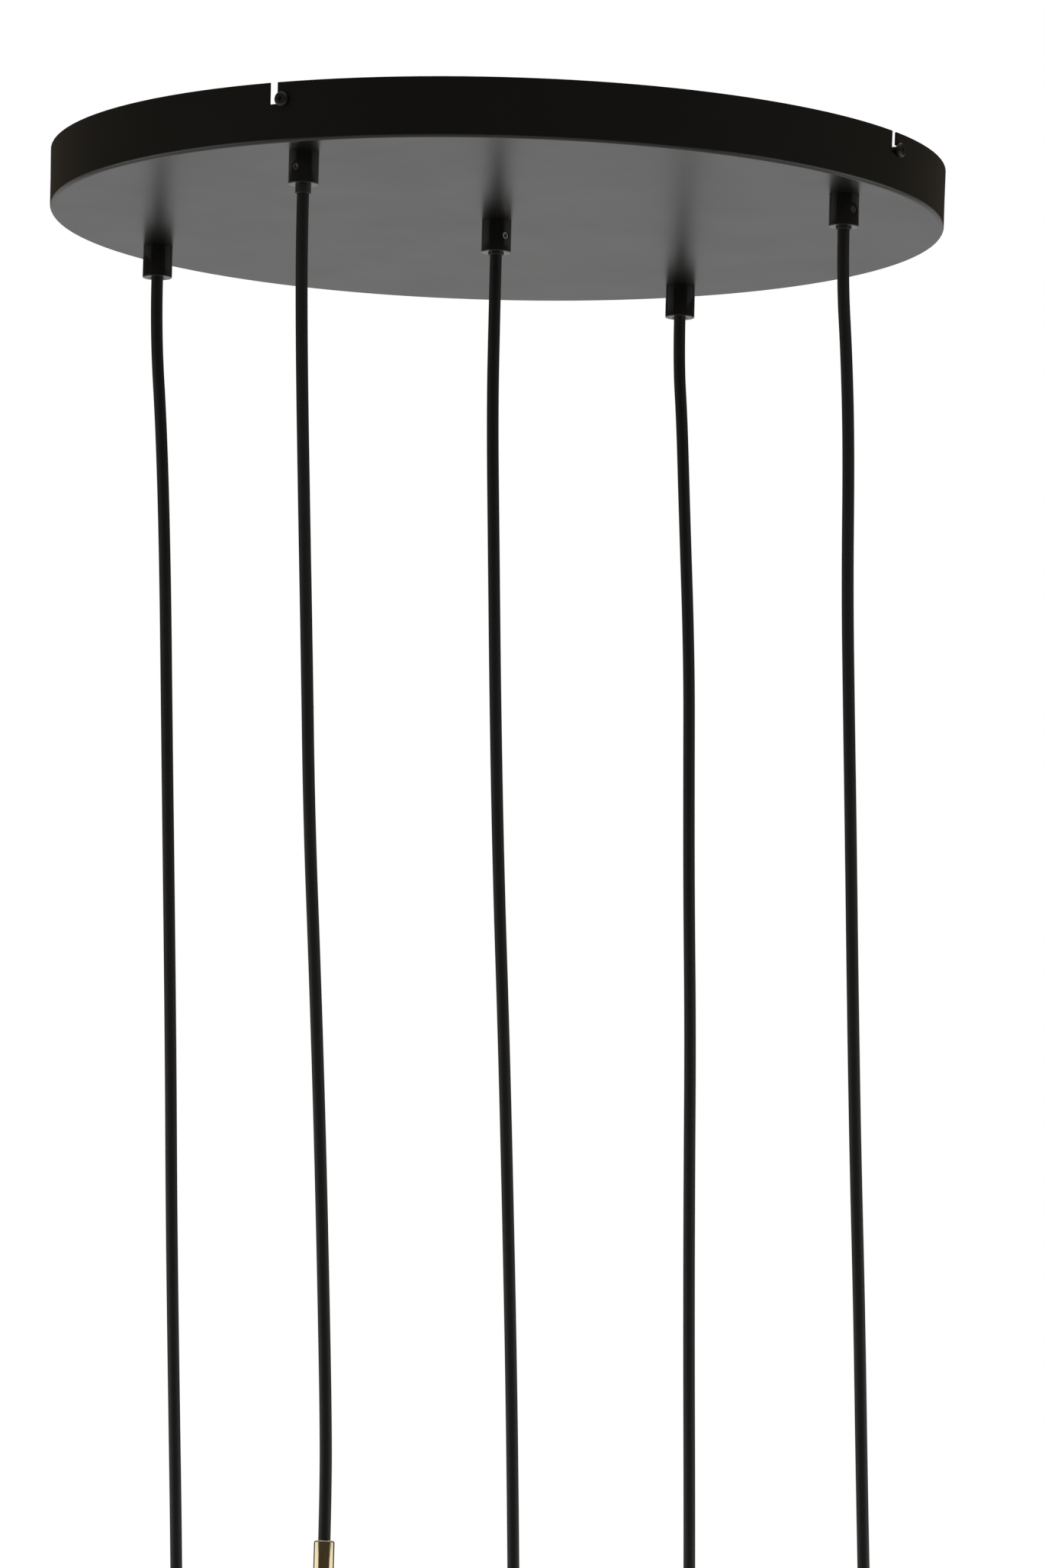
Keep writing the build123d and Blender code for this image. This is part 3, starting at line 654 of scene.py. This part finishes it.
def nurbs_line(name, points):
    """Curve object of one smooth open spline through the control points."""
    curve = bpy.data.curves.new(name, "CURVE")
    curve.dimensions = "3D"
    spline = curve.splines.new("NURBS")
    spline.points.add(len(points) - 1)
    for knot, place in zip(spline.points, points):
        knot.co = (*place, 1)
    spline.order_u = 3
    spline.use_endpoint_u = True
    spline.resolution_u = 10
    curve.resolution_u = 10
    return added(name, curve)


def cord_tube(name, points, diameter, sides):
    """Mesh tube along a smooth line, and the points that it follows."""
    line = nurbs_line(name + "_line", points)
    path = [vertex.co.copy() for vertex in bpy.data.meshes.new_from_object(line).vertices]
    line.data.bevel_depth = diameter / 2
    line.data.bevel_resolution = sides // 4 - 1
    line.data.use_fill_caps = True
    mesh = bpy.data.meshes.new_from_object(line)
    mesh.name = name
    bpy.data.objects.remove(line)
    tube = added(name, mesh)
    for face in mesh.polygons:
        face.use_smooth = len(face.vertices) == 4
    return tube, path


def tail_entry(n, sizes):
    """Where pendant n's tail crosses the wiring box's wall, and its way in."""
    low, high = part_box("wiring_box")
    side, along = TAIL_ENTRIES[n]
    place = (low + high) / 2
    place.z = high.z - sizes.entry_depth
    if side:
        place.x = high.x if side > 0 else low.x
        place.y += along * MM
        return place, Vector((-side, 0, 0))
    place.x += along * MM
    place.y = low.y
    return place, Vector((0, 1, 0))


def bend_points(corner, back, ahead, radius):
    """Spline points round a corner, on the sides of three equal stretches of an arc."""
    half = math.radians(90 / 3 / 2)
    step = radius * math.tan(half)
    centre = corner + (back + ahead) * radius
    middle = centre - (back + ahead).normalized() * radius / math.cos(half)
    return [corner + back * (radius + step), corner + back * (radius - step), middle,
            corner + ahead * (radius - step), corner + ahead * (radius + step)]


def screw_way(n, height):
    """From Z at the origin to pendant n's set screw, seen from its grip's mouth."""
    turn = Matrix.Rotation(math.radians(SET_SCREW_ANGLES[n]), 4, "Z")
    return turn @ Matrix.Translation((0, 0, height)) @ Matrix.Rotation(math.pi / 2, 4, "Y")


# ------------------------------------------------------------------ operators
class Piece:
    """What the operators of the pieces share."""

    def execute(self, context):
        self.make(context.scene.pendant_sizes)
        return {"FINISHED"}


class PENDANT_OT_camera(bpy.types.Operator):
    """Sets the camera where the photograph was taken from"""

    bl_idname = "pendant.camera"
    bl_label = "Camera"

    def execute(self, context):
        stage = context.scene.pendant_stage
        data = bpy.data.cameras.new("camera")
        data.lens = stage.camera_lens
        data.clip_end = 100
        camera = added("camera", data)
        turn = (Matrix.Rotation(-stage.camera_yaw, 4, "Z")
                @ Matrix.Rotation(math.pi / 2 + stage.camera_pitch, 4, "X")
                @ Matrix.Rotation(stage.camera_roll, 4, "Z"))
        place = Matrix.Translation((0, -stage.camera_distance, -stage.camera_drop))
        camera.matrix_world = place @ turn
        context.scene.camera = camera
        return {"FINISHED"}


class PENDANT_OT_cords(Piece, bpy.types.Operator):
    """Hangs the five free cords from their grips"""

    bl_idname = "pendant.cords"
    bl_label = "Cords"

    def make(self, sizes):
        for n in PENDANTS:
            start = mouth(n)
            points = [start + at((x, y, -drop)) for x, y, drop in CORD_ROUTES[n]]
            tube, path = cord_tube(f"cord_{n}_sheath", points, sizes.cord_diameter,
                                   sizes.cord_sides)
            give(tube, "black_cord", f"pendant_{n}_cord", [f"cord_{n}"])
            travel = joint(f"pendant_{n}_height")["range_m"][1]
            drop = CORD_ROUTES[n][-1][2] * MM
            (drop - travel) / drop
            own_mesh(tube)


class PENDANT_OT_tails(Piece, bpy.types.Operator):
    """Runs the cords on from their grips to the wiring box, inside the canopy"""

    bl_idname = "pendant.tails"
    bl_label = "Cord tails"

    def make(self, sizes):
        tails = []
        for n in PENDANTS:
            foot = mouth(n) + Vector((0, 0, sizes.tail_gap))
            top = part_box(f"cord_grip_{n}")[1].z
            corner = Vector((foot.x, foot.y, top + sizes.tail_rise))
            route = [at(point) for point in TAIL_ROUTES[n]]
            entry, inwards = tail_entry(n, sizes)
            bend = bend_points(corner, Vector((0, 0, -1)), (route[0] - corner).normalized(),
                               sizes.tail_bend)
            points = [foot, *bend, *route, entry - inwards * sizes.entry_lead, entry,
                      entry + inwards * sizes.entry_reach]
            tails.append(cord_tube(f"tail_{n}", points, sizes.cord_diameter, sizes.cord_sides)[0])
        give(joined("tail_cords", tails), "black_cord", "canopy", ["cord_tails"])


class PENDANT_OT_grips(Piece, bpy.types.Operator):
    """Makes the five cord grips with their threads and screw holes"""

    bl_idname = "pendant.grips"
    bl_label = "Cord grips"

    def make(self, sizes):
        body, shank = sizes.grip_diameter / 2, sizes.grip_thread / 2
        wide, narrow = sizes.grip_wide_bore / 2, sizes.grip_cord_bore / 2
        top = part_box("cord_grip_1")[1].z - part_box("cord_grip_1")[0].z
        low, high = sizes.grip_length + sizes.canopy_wall, top - 0.6 * MM
        grip = turned("cord_grip", [
            (wide, 0, 0.15 * MM), (body, 0, 0.4 * MM), (body, sizes.grip_length, 0.1 * MM),
            (shank, sizes.grip_length, 0), *stretch(shank, low, high, sizes.grip_pitch / 8),
            (shank, top, 0.4 * MM), (narrow, top, 0.3 * MM), (narrow, sizes.grip_seat, 0),
            (wide, sizes.grip_seat, 0)])
        thread(grip, shank, low, high, sizes.grip_pitch, GRIP_THREAD_DEPTH)
        grips = copies(grip, [Matrix()] * len(PENDANTS))
        for n, piece in zip(PENDANTS, grips):
            drill = prism("drill", 48, sizes.set_screw_diameter / 2, 0, sizes.grip_diameter)
            drill.data.transform(screw_way(n, sizes.set_screw_height))
            smooth(carve(piece, drill))
            piece.data.transform(Matrix.Translation(grip_foot(n)))
            give(piece, "black_grip", "canopy", [f"cord_grip_{n}"])


class PENDANT_OT_bushes(Piece, bpy.types.Operator):
    """Makes the sleeves round the cords in the grips' mouths"""

    bl_idname = "pendant.bushes"
    bl_label = "Bushes"

    def make(self, sizes):
        outer = sizes.bush_diameter / 2
        inner = outer - sizes.bush_wall
        bushes = []
        for n in PENDANTS:
            top = grip_foot(n).z + sizes.grip_seat - mouth(n).z
            bush = smooth(turned(f"bush_{n}", [
                (inner, 0, 0.3 * MM), (outer, 0, 0.3 * MM), (outer, top, 0), (inner, top, 0)], 64))
            bush.data.transform(Matrix.Translation(mouth(n)))
            bushes.append(bush)
        give(joined("grip_sleeves", bushes), "black_plastic", "canopy", ["grip_bushes"])


class PENDANT_OT_set_screws(Piece, bpy.types.Operator):
    """Makes the grub screws in the grips"""

    bl_idname = "pendant.set_screws"
    bl_label = "Set screws"

    def make(self, sizes):
        radius, end = sizes.set_screw_diameter / 2 - SCREW_PLAY, sizes.set_screw_length
        screw = turned("set_screw", [
            (0.5 * MM, 0.6 * MM, 0), (1.1 * MM, 0, 0), (radius - 0.3 * MM, 0, 0),
            (radius, 0.3 * MM, 0), (radius, end - 0.25 * MM, 0), (radius - 0.25 * MM, end, 0),
            (1.4 * MM, end, 0)], 48, closed=False)
        key = prism("key", 6, sizes.set_screw_key / math.sqrt(3), end - 1.5 * MM, end + 1 * MM)
        smooth(carve(screw, key), 30)
        start = sizes.grip_wide_bore / 2
        places = [Matrix.Translation(grip_foot(n)) @ screw_way(n, sizes.set_screw_height)
                  @ Matrix.Translation((0, 0, start)) for n in PENDANTS]
        give(joined("grub_screws", copies(screw, places)), "nickel", "canopy", ["set_screws"])


class PENDANT_OT_nuts(Piece, bpy.types.Operator):
    """Makes the lock nuts and washers on the grips, inside the canopy"""

    bl_idname = "pendant.nuts"
    bl_label = "Nuts and washers"

    def make(self, sizes):
        floor = sizes.grip_length + sizes.canopy_wall
        foot = floor + sizes.washer_thickness
        top = foot + sizes.nut_height
        flat, corner = sizes.nut_flats / 2, sizes.nut_flats / math.sqrt(3)
        nut = prism("lock_nut", 6, corner, foot, top)
        barrel = turned("barrel", [
            (flat - 0.1 * MM, foot, 0), (corner + 0.1 * MM, foot + 0.7 * MM, 0),
            (corner + 0.1 * MM, top - 0.7 * MM, 0), (flat - 0.1 * MM, top, 0)], 96, closed=False)
        carve(nut, barrel, "INTERSECT")
        bore = sizes.grip_thread / 2 + SCREW_PLAY
        low, high, pitch = foot - 1 * MM, top + 1 * MM, sizes.grip_pitch
        tap = turned("tap", stretch(bore, low, high, pitch / 8), 64, closed=False)
        thread(tap, bore, low - pitch, high + pitch, pitch, GRIP_THREAD_DEPTH)
        smooth(carve(nut, tap), 30)
        inner, outer = sizes.grip_thread / 2 + 0.15 * MM, sizes.washer_diameter / 2
        washer = smooth(turned("washer", [
            (inner, floor, 0.1 * MM), (outer, floor, 0.2 * MM), (outer, foot, 0.2 * MM),
            (inner, foot, 0.1 * MM)]))
        # The strip under the centre washer is as thick as the pitch, so one nut fits all
        lift = {CENTRE: Vector((0, 0, sizes.strip_thickness))}
        places = moved(grip_foot(n) + lift.get(n, Vector()) for n in PENDANTS)
        give(joined("nuts", copies(nut, places)), "brass_nut", "canopy", ["lock_nuts"])
        give(joined("washers", copies(washer, places)), "zinc_steel", "canopy", ["lock_washers"])


class PENDANT_OT_side_screws(Piece, bpy.types.Operator):
    """Makes the four screws that the rim slots hang on"""

    bl_idname = "pendant.side_screws"
    bl_label = "Side screws"

    def make(self, sizes):
        shank, head = sizes.side_screw_diameter / 2, sizes.side_screw_head / 2
        end, rise = -sizes.side_screw_length, sizes.side_screw_rise
        low, high = end + 0.4 * MM, -0.6 * MM
        screw = turned("side_screw", [
            (shank - 0.5 * MM, end, 0), *stretch(shank, low, high, sizes.side_screw_pitch / 8),
            (shank, 0, 0), (head, 0, 0.2 * MM), (head, rise, 1.3 * MM), (1 * MM, rise, 0)],
            48, closed=False)
        thread(screw, shank, low, high, sizes.side_screw_pitch, SIDE_THREAD_DEPTH)
        for turn in (0, math.pi / 2):
            bpy.ops.mesh.primitive_cube_add(size=1, location=(0, 0, rise),
                                            rotation=(0, 0, turn), scale=RECESS)
            bar = fresh("bar")
            for vertex in bar.data.vertices:
                if vertex.co.z < rise:
                    vertex.co.x *= RECESS_TAPER
                    vertex.co.y *= RECESS_TAPER
            carve(screw, bar)
        smooth(screw, 30)
        seat = Vector((sizes.side_screw_seat, sizes.side_screw_offset, -sizes.side_screw_drop))
        places = [Matrix.Rotation(sizes.pattern_angle + quarter * math.pi / 2, 4, "Z")
                  @ Matrix.Translation(seat) @ Matrix.Rotation(math.pi / 2, 4, "Y")
                  for quarter in range(4)]
        give(joined("rim_screws", copies(screw, places)), "black_screw", "bracket",
             ["side_screws"])


class PENDANT_OT_stems(Piece, bpy.types.Operator):
    """Makes the five stem tubes"""

    bl_idname = "pendant.stems"
    bl_label = "Stems"

    def make(self, sizes):
        outer = sizes.stem_diameter / 2
        bore = outer - sizes.stem_wall
        lip = sizes.grip_cord_bore / 2
        stem = smooth(turned("stem", [
            (bore, -sizes.stem_length, 0.1 * MM), (outer, -sizes.stem_length, 0.2 * MM),
            (outer, 0, 0.8 * MM), (lip, 0, 0.3 * MM), (lip, -sizes.stem_lip, 0),
            (bore, -sizes.stem_lip, 0)], 128))
        dress_lamps(stem, "brass", "stem_tube_{}", seat="stem_tube_{}")


class PENDANT_OT_collars(Piece, bpy.types.Operator):
    """Makes the knurled nuts that clamp the cups on the stems"""

    bl_idname = "pendant.collars"
    bl_label = "Collars"

    def make(self, sizes):
        radius, height = sizes.collar_diameter / 2, sizes.collar_height
        bore = sizes.stem_diameter / 2 + SLIP_PLAY
        low, high = 0.8 * MM, height - 1.2 * MM
        collar = turned("collar", [
            (bore, 0, 0), (radius, 0, 0.4 * MM), *stretch(radius, low, high, 0.25 * MM),
            (radius, height, 1 * MM), (bore, height, 0.2 * MM)], 192)
        knurl(collar, radius, low, high, 48, 0.35 * MM)
        dress_lamps(smooth(collar, 25), "brass", "stem_collar_{}")


class PENDANT_OT_cups(Piece, bpy.types.Operator):
    """Makes the spun socket cups"""

    bl_idname = "pendant.cups"
    bl_label = "Socket cups"

    def make(self, sizes):
        radius, wall = sizes.cup_diameter / 2, sizes.cup_wall
        bore = sizes.stem_diameter / 2 + SLIP_PLAY
        cup = turned("cup", [
            (bore, 0, 0.1 * MM), (radius, 0, sizes.cup_shoulder),
            (radius, -sizes.cup_height, 0.3 * MM), (radius - wall, -sizes.cup_height, 0.2 * MM),
            (radius - wall, -wall, sizes.cup_shoulder - wall), (bore, -wall, 0)], 160)
        dress_lamps(smooth(cup), "brass", "socket_cup_{}")


class PENDANT_OT_holders(Piece, bpy.types.Operator):
    """Makes the lampholders' bodies with the thread for a shade ring"""

    bl_idname = "pendant.holders"
    bl_label = "Lampholders"

    def make(self, sizes):
        body = sizes.cup_diameter / 2 - sizes.cup_wall - HAND_PLAY
        edge, ring, skirt = sizes.cup_diameter / 2, sizes.holder_thread / 2, sizes.skirt_diameter / 2
        stem = sizes.stem_diameter / 2 + SCREW_PLAY
        chamber = -sizes.cup_height + 4 * MM
        flange = -sizes.cup_height - sizes.holder_flange
        ring_end = flange - sizes.ring_gap - sizes.ring_height
        end = flange - sizes.skirt_length
        shell = sizes.shell_bore / 2 + sizes.shell_wall + SLIP_PLAY
        spacing = sizes.holder_pitch / 8
        upper = (flange - 0.4 * MM, ring_end + 0.1 * MM)
        lower = (ring_end - 0.3 * MM, end + 1.2 * MM)
        holder = turned("holder", [
            (0.5 * MM, chamber, 0), (stem, chamber, 0), (stem, -sizes.cup_wall, 0.2 * MM),
            (body, -sizes.cup_wall, sizes.cup_shoulder - sizes.cup_wall),
            (body, -sizes.cup_height, 0), (edge, -sizes.cup_height, 0.3 * MM),
            (edge, flange, 0.6 * MM), (ring, flange, 0), *stretch(ring, *upper, spacing),
            (ring, ring_end, 0), (skirt, ring_end, 0), *stretch(skirt, *lower, spacing),
            (skirt, end, 0.6 * MM), (sizes.holder_mouth / 2, end, 0.6 * MM),
            (sizes.holder_mouth / 2, end + sizes.mouth_depth, 0.3 * MM),
            (shell, end + sizes.mouth_depth, 0.3 * MM), (shell, -sizes.cup_height, 0),
            (0.5 * MM, -sizes.cup_height, 0)], 96, closed=False)
        for radius, (high, low), depth in ((ring, upper, RING_THREAD_DEPTH),
                                           (skirt, lower, SKIRT_THREAD_DEPTH)):
            thread(holder, radius, low, high, sizes.holder_pitch, depth, round_wave)
        dress_lamps(smooth(holder), "black_holder", "lampholder_{}")


class PENDANT_OT_contacts(Piece, bpy.types.Operator):
    """Makes the threaded shells and the leaves that meet a lamp's cap"""

    bl_idname = "pendant.contacts"
    bl_label = "Lamp contacts"

    def make(self, sizes):
        pair = joined("lamp_contact", [self.make_shell(sizes), self.make_leaf(sizes)])
        dress_lamps(pair, "nickel_brass", "lamp_contacts_{}")

    def make_shell(self, sizes):
        inner, wall = sizes.shell_bore / 2, sizes.shell_wall
        neck, flange = sizes.shell_neck_bore / 2, sizes.shell_flange_bore / 2
        top = -sizes.cup_height
        shoulder, end = top - sizes.shell_neck, top - sizes.shell_length
        high, low = shoulder - 0.3 * MM, end + 0.3 * MM
        spacing = sizes.lamp_pitch / 10
        shell = turned("shell", [
            (flange, top, 0), (neck + wall, top, 0.3 * MM), (neck + wall, shoulder + wall, 0),
            (inner + wall, shoulder + wall, 0.2 * MM),
            *stretch(inner + wall, high, low, spacing), (inner + wall, end, 0), (inner, end, 0),
            *stretch(inner, low, high, spacing), (inner, shoulder, 0), (neck, shoulder, 0),
            (neck, top - wall, 0), (flange, top - wall, 0)])
        for radius in (inner, inner + wall):
            thread(shell, radius, low, high, sizes.lamp_pitch, LAMP_THREAD_DEPTH, round_wave)
        return smooth(shell)

    def make_leaf(self, sizes):
        """Strip that bends down from the carrier to the lamp's centre."""
        half = sizes.leaf_width / 2
        top = -sizes.cup_height - sizes.leaf_thickness / 2
        deselect_all()
        bpy.ops.mesh.primitive_plane_add(size=1)
        leaf = fresh("leaf")
        for vertex in leaf.data.vertices:
            x, z = LEAF_LINE[0 if vertex.co.x < 0 else 1]
            vertex.co = (x * MM, math.copysign(half, vertex.co.y), top + z * MM)
        bpy.ops.object.mode_set(mode="EDIT")
        bpy.ops.mesh.select_mode(type="EDGE")
        bpy.ops.mesh.select_all(action="DESELECT")
        mesh = bmesh.from_edit_mesh(leaf.data)
        for edge in mesh.edges:
            edge.select = all(vertex.co.x > LEAF_LINE[0][0] * MM / 2 for vertex in edge.verts)
        bmesh.update_edit_mesh(leaf.data)
        for before, here in zip(LEAF_LINE[1:], LEAF_LINE[2:]):
            step = ((here[0] - before[0]) * MM, 0, (here[1] - before[1]) * MM)
            bpy.ops.mesh.extrude_region_move(TRANSFORM_OT_translate={"value": step})
        bpy.ops.mesh.select_mode(type="VERT")
        bpy.ops.object.mode_set(mode="OBJECT")
        plate = leaf.modifiers.new("plate", "SOLIDIFY")
        plate.thickness = sizes.leaf_thickness
        plate.offset = 0
        soft = leaf.modifiers.new("soft", "BEVEL")
        soft.width = 0.12 * MM
        soft.segments = 2
        pick(leaf)
        for name in ("plate", "soft"):
            bpy.ops.object.modifier_apply(modifier=name)
        return smooth(leaf)


class PENDANT_OT_shade_rings(Piece, bpy.types.Operator):
    """Makes the ribbed rings that hold a shade"""

    bl_idname = "pendant.shade_rings"
    bl_label = "Shade rings"

    def make(self, sizes):
        top = -sizes.cup_height - sizes.holder_flange - sizes.ring_gap
        under, end = top - sizes.ring_flange, top - sizes.ring_height
        bore, outer = sizes.holder_thread / 2 + HAND_PLAY, sizes.ring_diameter / 2
        wall = bore + sizes.ring_wall
        ribs = (top - 0.7 * MM, under + 0.7 * MM)
        inside = (end + 0.4 * MM, top - 0.4 * MM)
        ring = turned("shade_ring", [
            (bore, top, 0.2 * MM), (outer, top, 0.5 * MM), *stretch(outer, *ribs, 0.3 * MM),
            (outer, under, 0.5 * MM), (wall, under, 0.3 * MM), (wall, end, 0.5 * MM),
            (bore, end, 0.2 * MM), *stretch(bore, *inside, sizes.holder_pitch / 8)], 288)
        knurl(ring, outer, ribs[1] - 0.1 * MM, ribs[0] + 0.1 * MM, 72, 0.6 * MM, crossed=False)
        thread(ring, bore, *inside, sizes.holder_pitch, RING_THREAD_DEPTH, round_wave)
        dress_lamps(smooth(ring, 28), "black_holder", "shade_ring_{}")


class PENDANT_OT_paint(bpy.types.Operator):
    """Gives every CAD node the finish of its material slot"""

    bl_idname = "pendant.paint"
    bl_label = "Paint"

    def execute(self, context):
        for row in frame["record"]["subparts"]:
            node = frame["nodes"][row["node"]]
            for slot in node.material_slots:
                slot.material = finish_of(row["material_slot"])
        return {"FINISHED"}


class PENDANT_OT_stage(bpy.types.Operator):
    """Makes the floor, the background and the soft lamps"""

    bl_idname = "pendant.stage"
    bl_label = "Stage"

    def execute(self, context):
        stage = context.scene.pendant_stage
        context.scene.view_settings.view_transform = "Standard"
        self.make_world(stage)
        self.make_floor(stage)
        for name, place, aim in (("lamp_left", (-1.9, 0, -0.8), (0, 0, -0.8)),
                                 ("lamp_right", (1.9, 0, -0.8), (0, 0, -0.8)),
                                 ("lamp_top", (0.3, 0.8, 2.0), (0, 0, 0))):
            self.make_lamp(stage, name, Vector(place), Vector(aim))
        return {"FINISHED"}

    def make_world(self, stage):
        """White where it is seen, darker to gloss on the camera's side, plain as light."""
        world = bpy.data.worlds.new("studio")
        bpy.context.scene.world = world
        tree = NodeTree(world)
        seen, glossy, through = tree.rays()
        way = tree.node("ShaderNodeTexCoord", {}, {}, "Generated")
        behind = tree.fade(way.part("Y"), 0.45, 0.85)
        below = tree.fade(way.part("Z"), 0.10, -0.06)
        above = tree.fade(way.part("Z"), 0.45, 0.80)
        pale = behind * below + above
        gloss = glossy + through
        plain = 1 - (seen + gloss)
        mirrored = stage.front_glow + pale * (stage.back_glow - stage.front_glow)
        strength = seen + gloss * mirrored + plain * stage.fill
        tint = tree.mix(gloss * (1 - pale), (1, 1, 1, 1), (*stage.front_tint, 1))
        light = tree.node("ShaderNodeBackground", {}, {"Color": tint, "Strength": strength})
        tree.end(light, "ShaderNodeOutputWorld")

    def make_floor(self, stage):
        deselect_all()
        bpy.ops.mesh.primitive_circle_add(vertices=96, radius=stage.floor_radius,
                                          fill_type="NGON",
                                          location=(0, 0, -stage.floor_drop))
        floor = fresh("floor")
        made, tree = new_material("pale_floor")
        seen, glossy, through = tree.rays()
        shown = seen + glossy + through
        shade = tree.mix(glossy, (0.9, 0.9, 0.9, 1), (0.6, 0.6, 0.6, 1))
        card = tree.node("ShaderNodeBsdfDiffuse", {}, {"Color": shade})
        reach = tree.node("ShaderNodeVectorMath", {"operation": "LENGTH"},
                          {0: tree.place()}, "Value")
        edge = tree.fade(reach, stage.floor_radius / 4, stage.floor_radius)
        middle_glow, edge_glow, gloss_loss = 0.44, 0.4, 0.8
        strength = (middle_glow + edge * edge_glow) * (1 - glossy * gloss_loss)
        glow = tree.node("ShaderNodeEmission", {}, {"Color": (1, 1, 1, 1),
                                                    "Strength": strength})
        both = tree.node("ShaderNodeAddShader", {}, {0: card, 1: glow})
        lit = tree.node("ShaderNodeMixShader", {}, {0: shown, 1: card, 2: both})
        under = tree.node("ShaderNodeNewGeometry", {}, {}, "Backfacing")
        clear = tree.node("ShaderNodeBsdfTransparent")
        tree.end(tree.node("ShaderNodeMixShader", {}, {0: under, 1: lit, 2: clear}))
        floor.data.materials.append(made)

    def make_lamp(self, stage, name, place, aim):
        data = bpy.data.lights.new(name, "AREA")
        data.shape = "RECTANGLE"
        data.size = stage.lamp_width
        data.size_y = stage.lamp_height
        data.energy = stage.lamp_power
        lamp = added(name, data)
        lamp.location = place
        lamp.rotation_euler = (aim - place).to_track_quat("-Z", "Y").to_euler()


class PENDANT_PT_panel(bpy.types.Panel):
    """Lists the pieces in the order in which they are made"""

    bl_label = "Cluster pendant"
    bl_space_type = "VIEW_3D"
    bl_region_type = "UI"
    bl_category = "Pendant"

    def draw(self, context):
        for step in STEPS:
            self.layout.operator(step.bl_idname)
        for group in ("pendant_sizes", "pendant_colours", "pendant_stage"):
            settings = getattr(context.scene, group)
            for name in settings.__annotations__:
                self.layout.prop(settings, name)


STEPS = (PENDANT_OT_camera, PENDANT_OT_cords, PENDANT_OT_tails, PENDANT_OT_grips,
         PENDANT_OT_bushes, PENDANT_OT_set_screws, PENDANT_OT_nuts, PENDANT_OT_side_screws,
         PENDANT_OT_stems, PENDANT_OT_collars, PENDANT_OT_cups, PENDANT_OT_holders,
         PENDANT_OT_contacts, PENDANT_OT_shade_rings, PENDANT_OT_paint, PENDANT_OT_stage)
GROUPS = {"pendant_sizes": PendantSizes, "pendant_colours": PendantColours,
          "pendant_stage": PendantStage}


def register():
    for made in (*GROUPS.values(), *STEPS, PENDANT_PT_panel):
        bpy.utils.register_class(made)
    for name, group in GROUPS.items():
        setattr(bpy.types.Scene, name, PointerProperty(type=group))


def unregister():
    for name in GROUPS:
        delattr(bpy.types.Scene, name)
    for made in reversed((*GROUPS.values(), *STEPS, PENDANT_PT_panel)):
        bpy.utils.unregister_class(made)


def main():
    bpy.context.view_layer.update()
    register()
    for step in STEPS:
        family, name = step.bl_idname.split(".")
        getattr(getattr(bpy.ops, family), name)()
    bpy.context.view_layer.update()


if __name__ == "__main__":
    main()
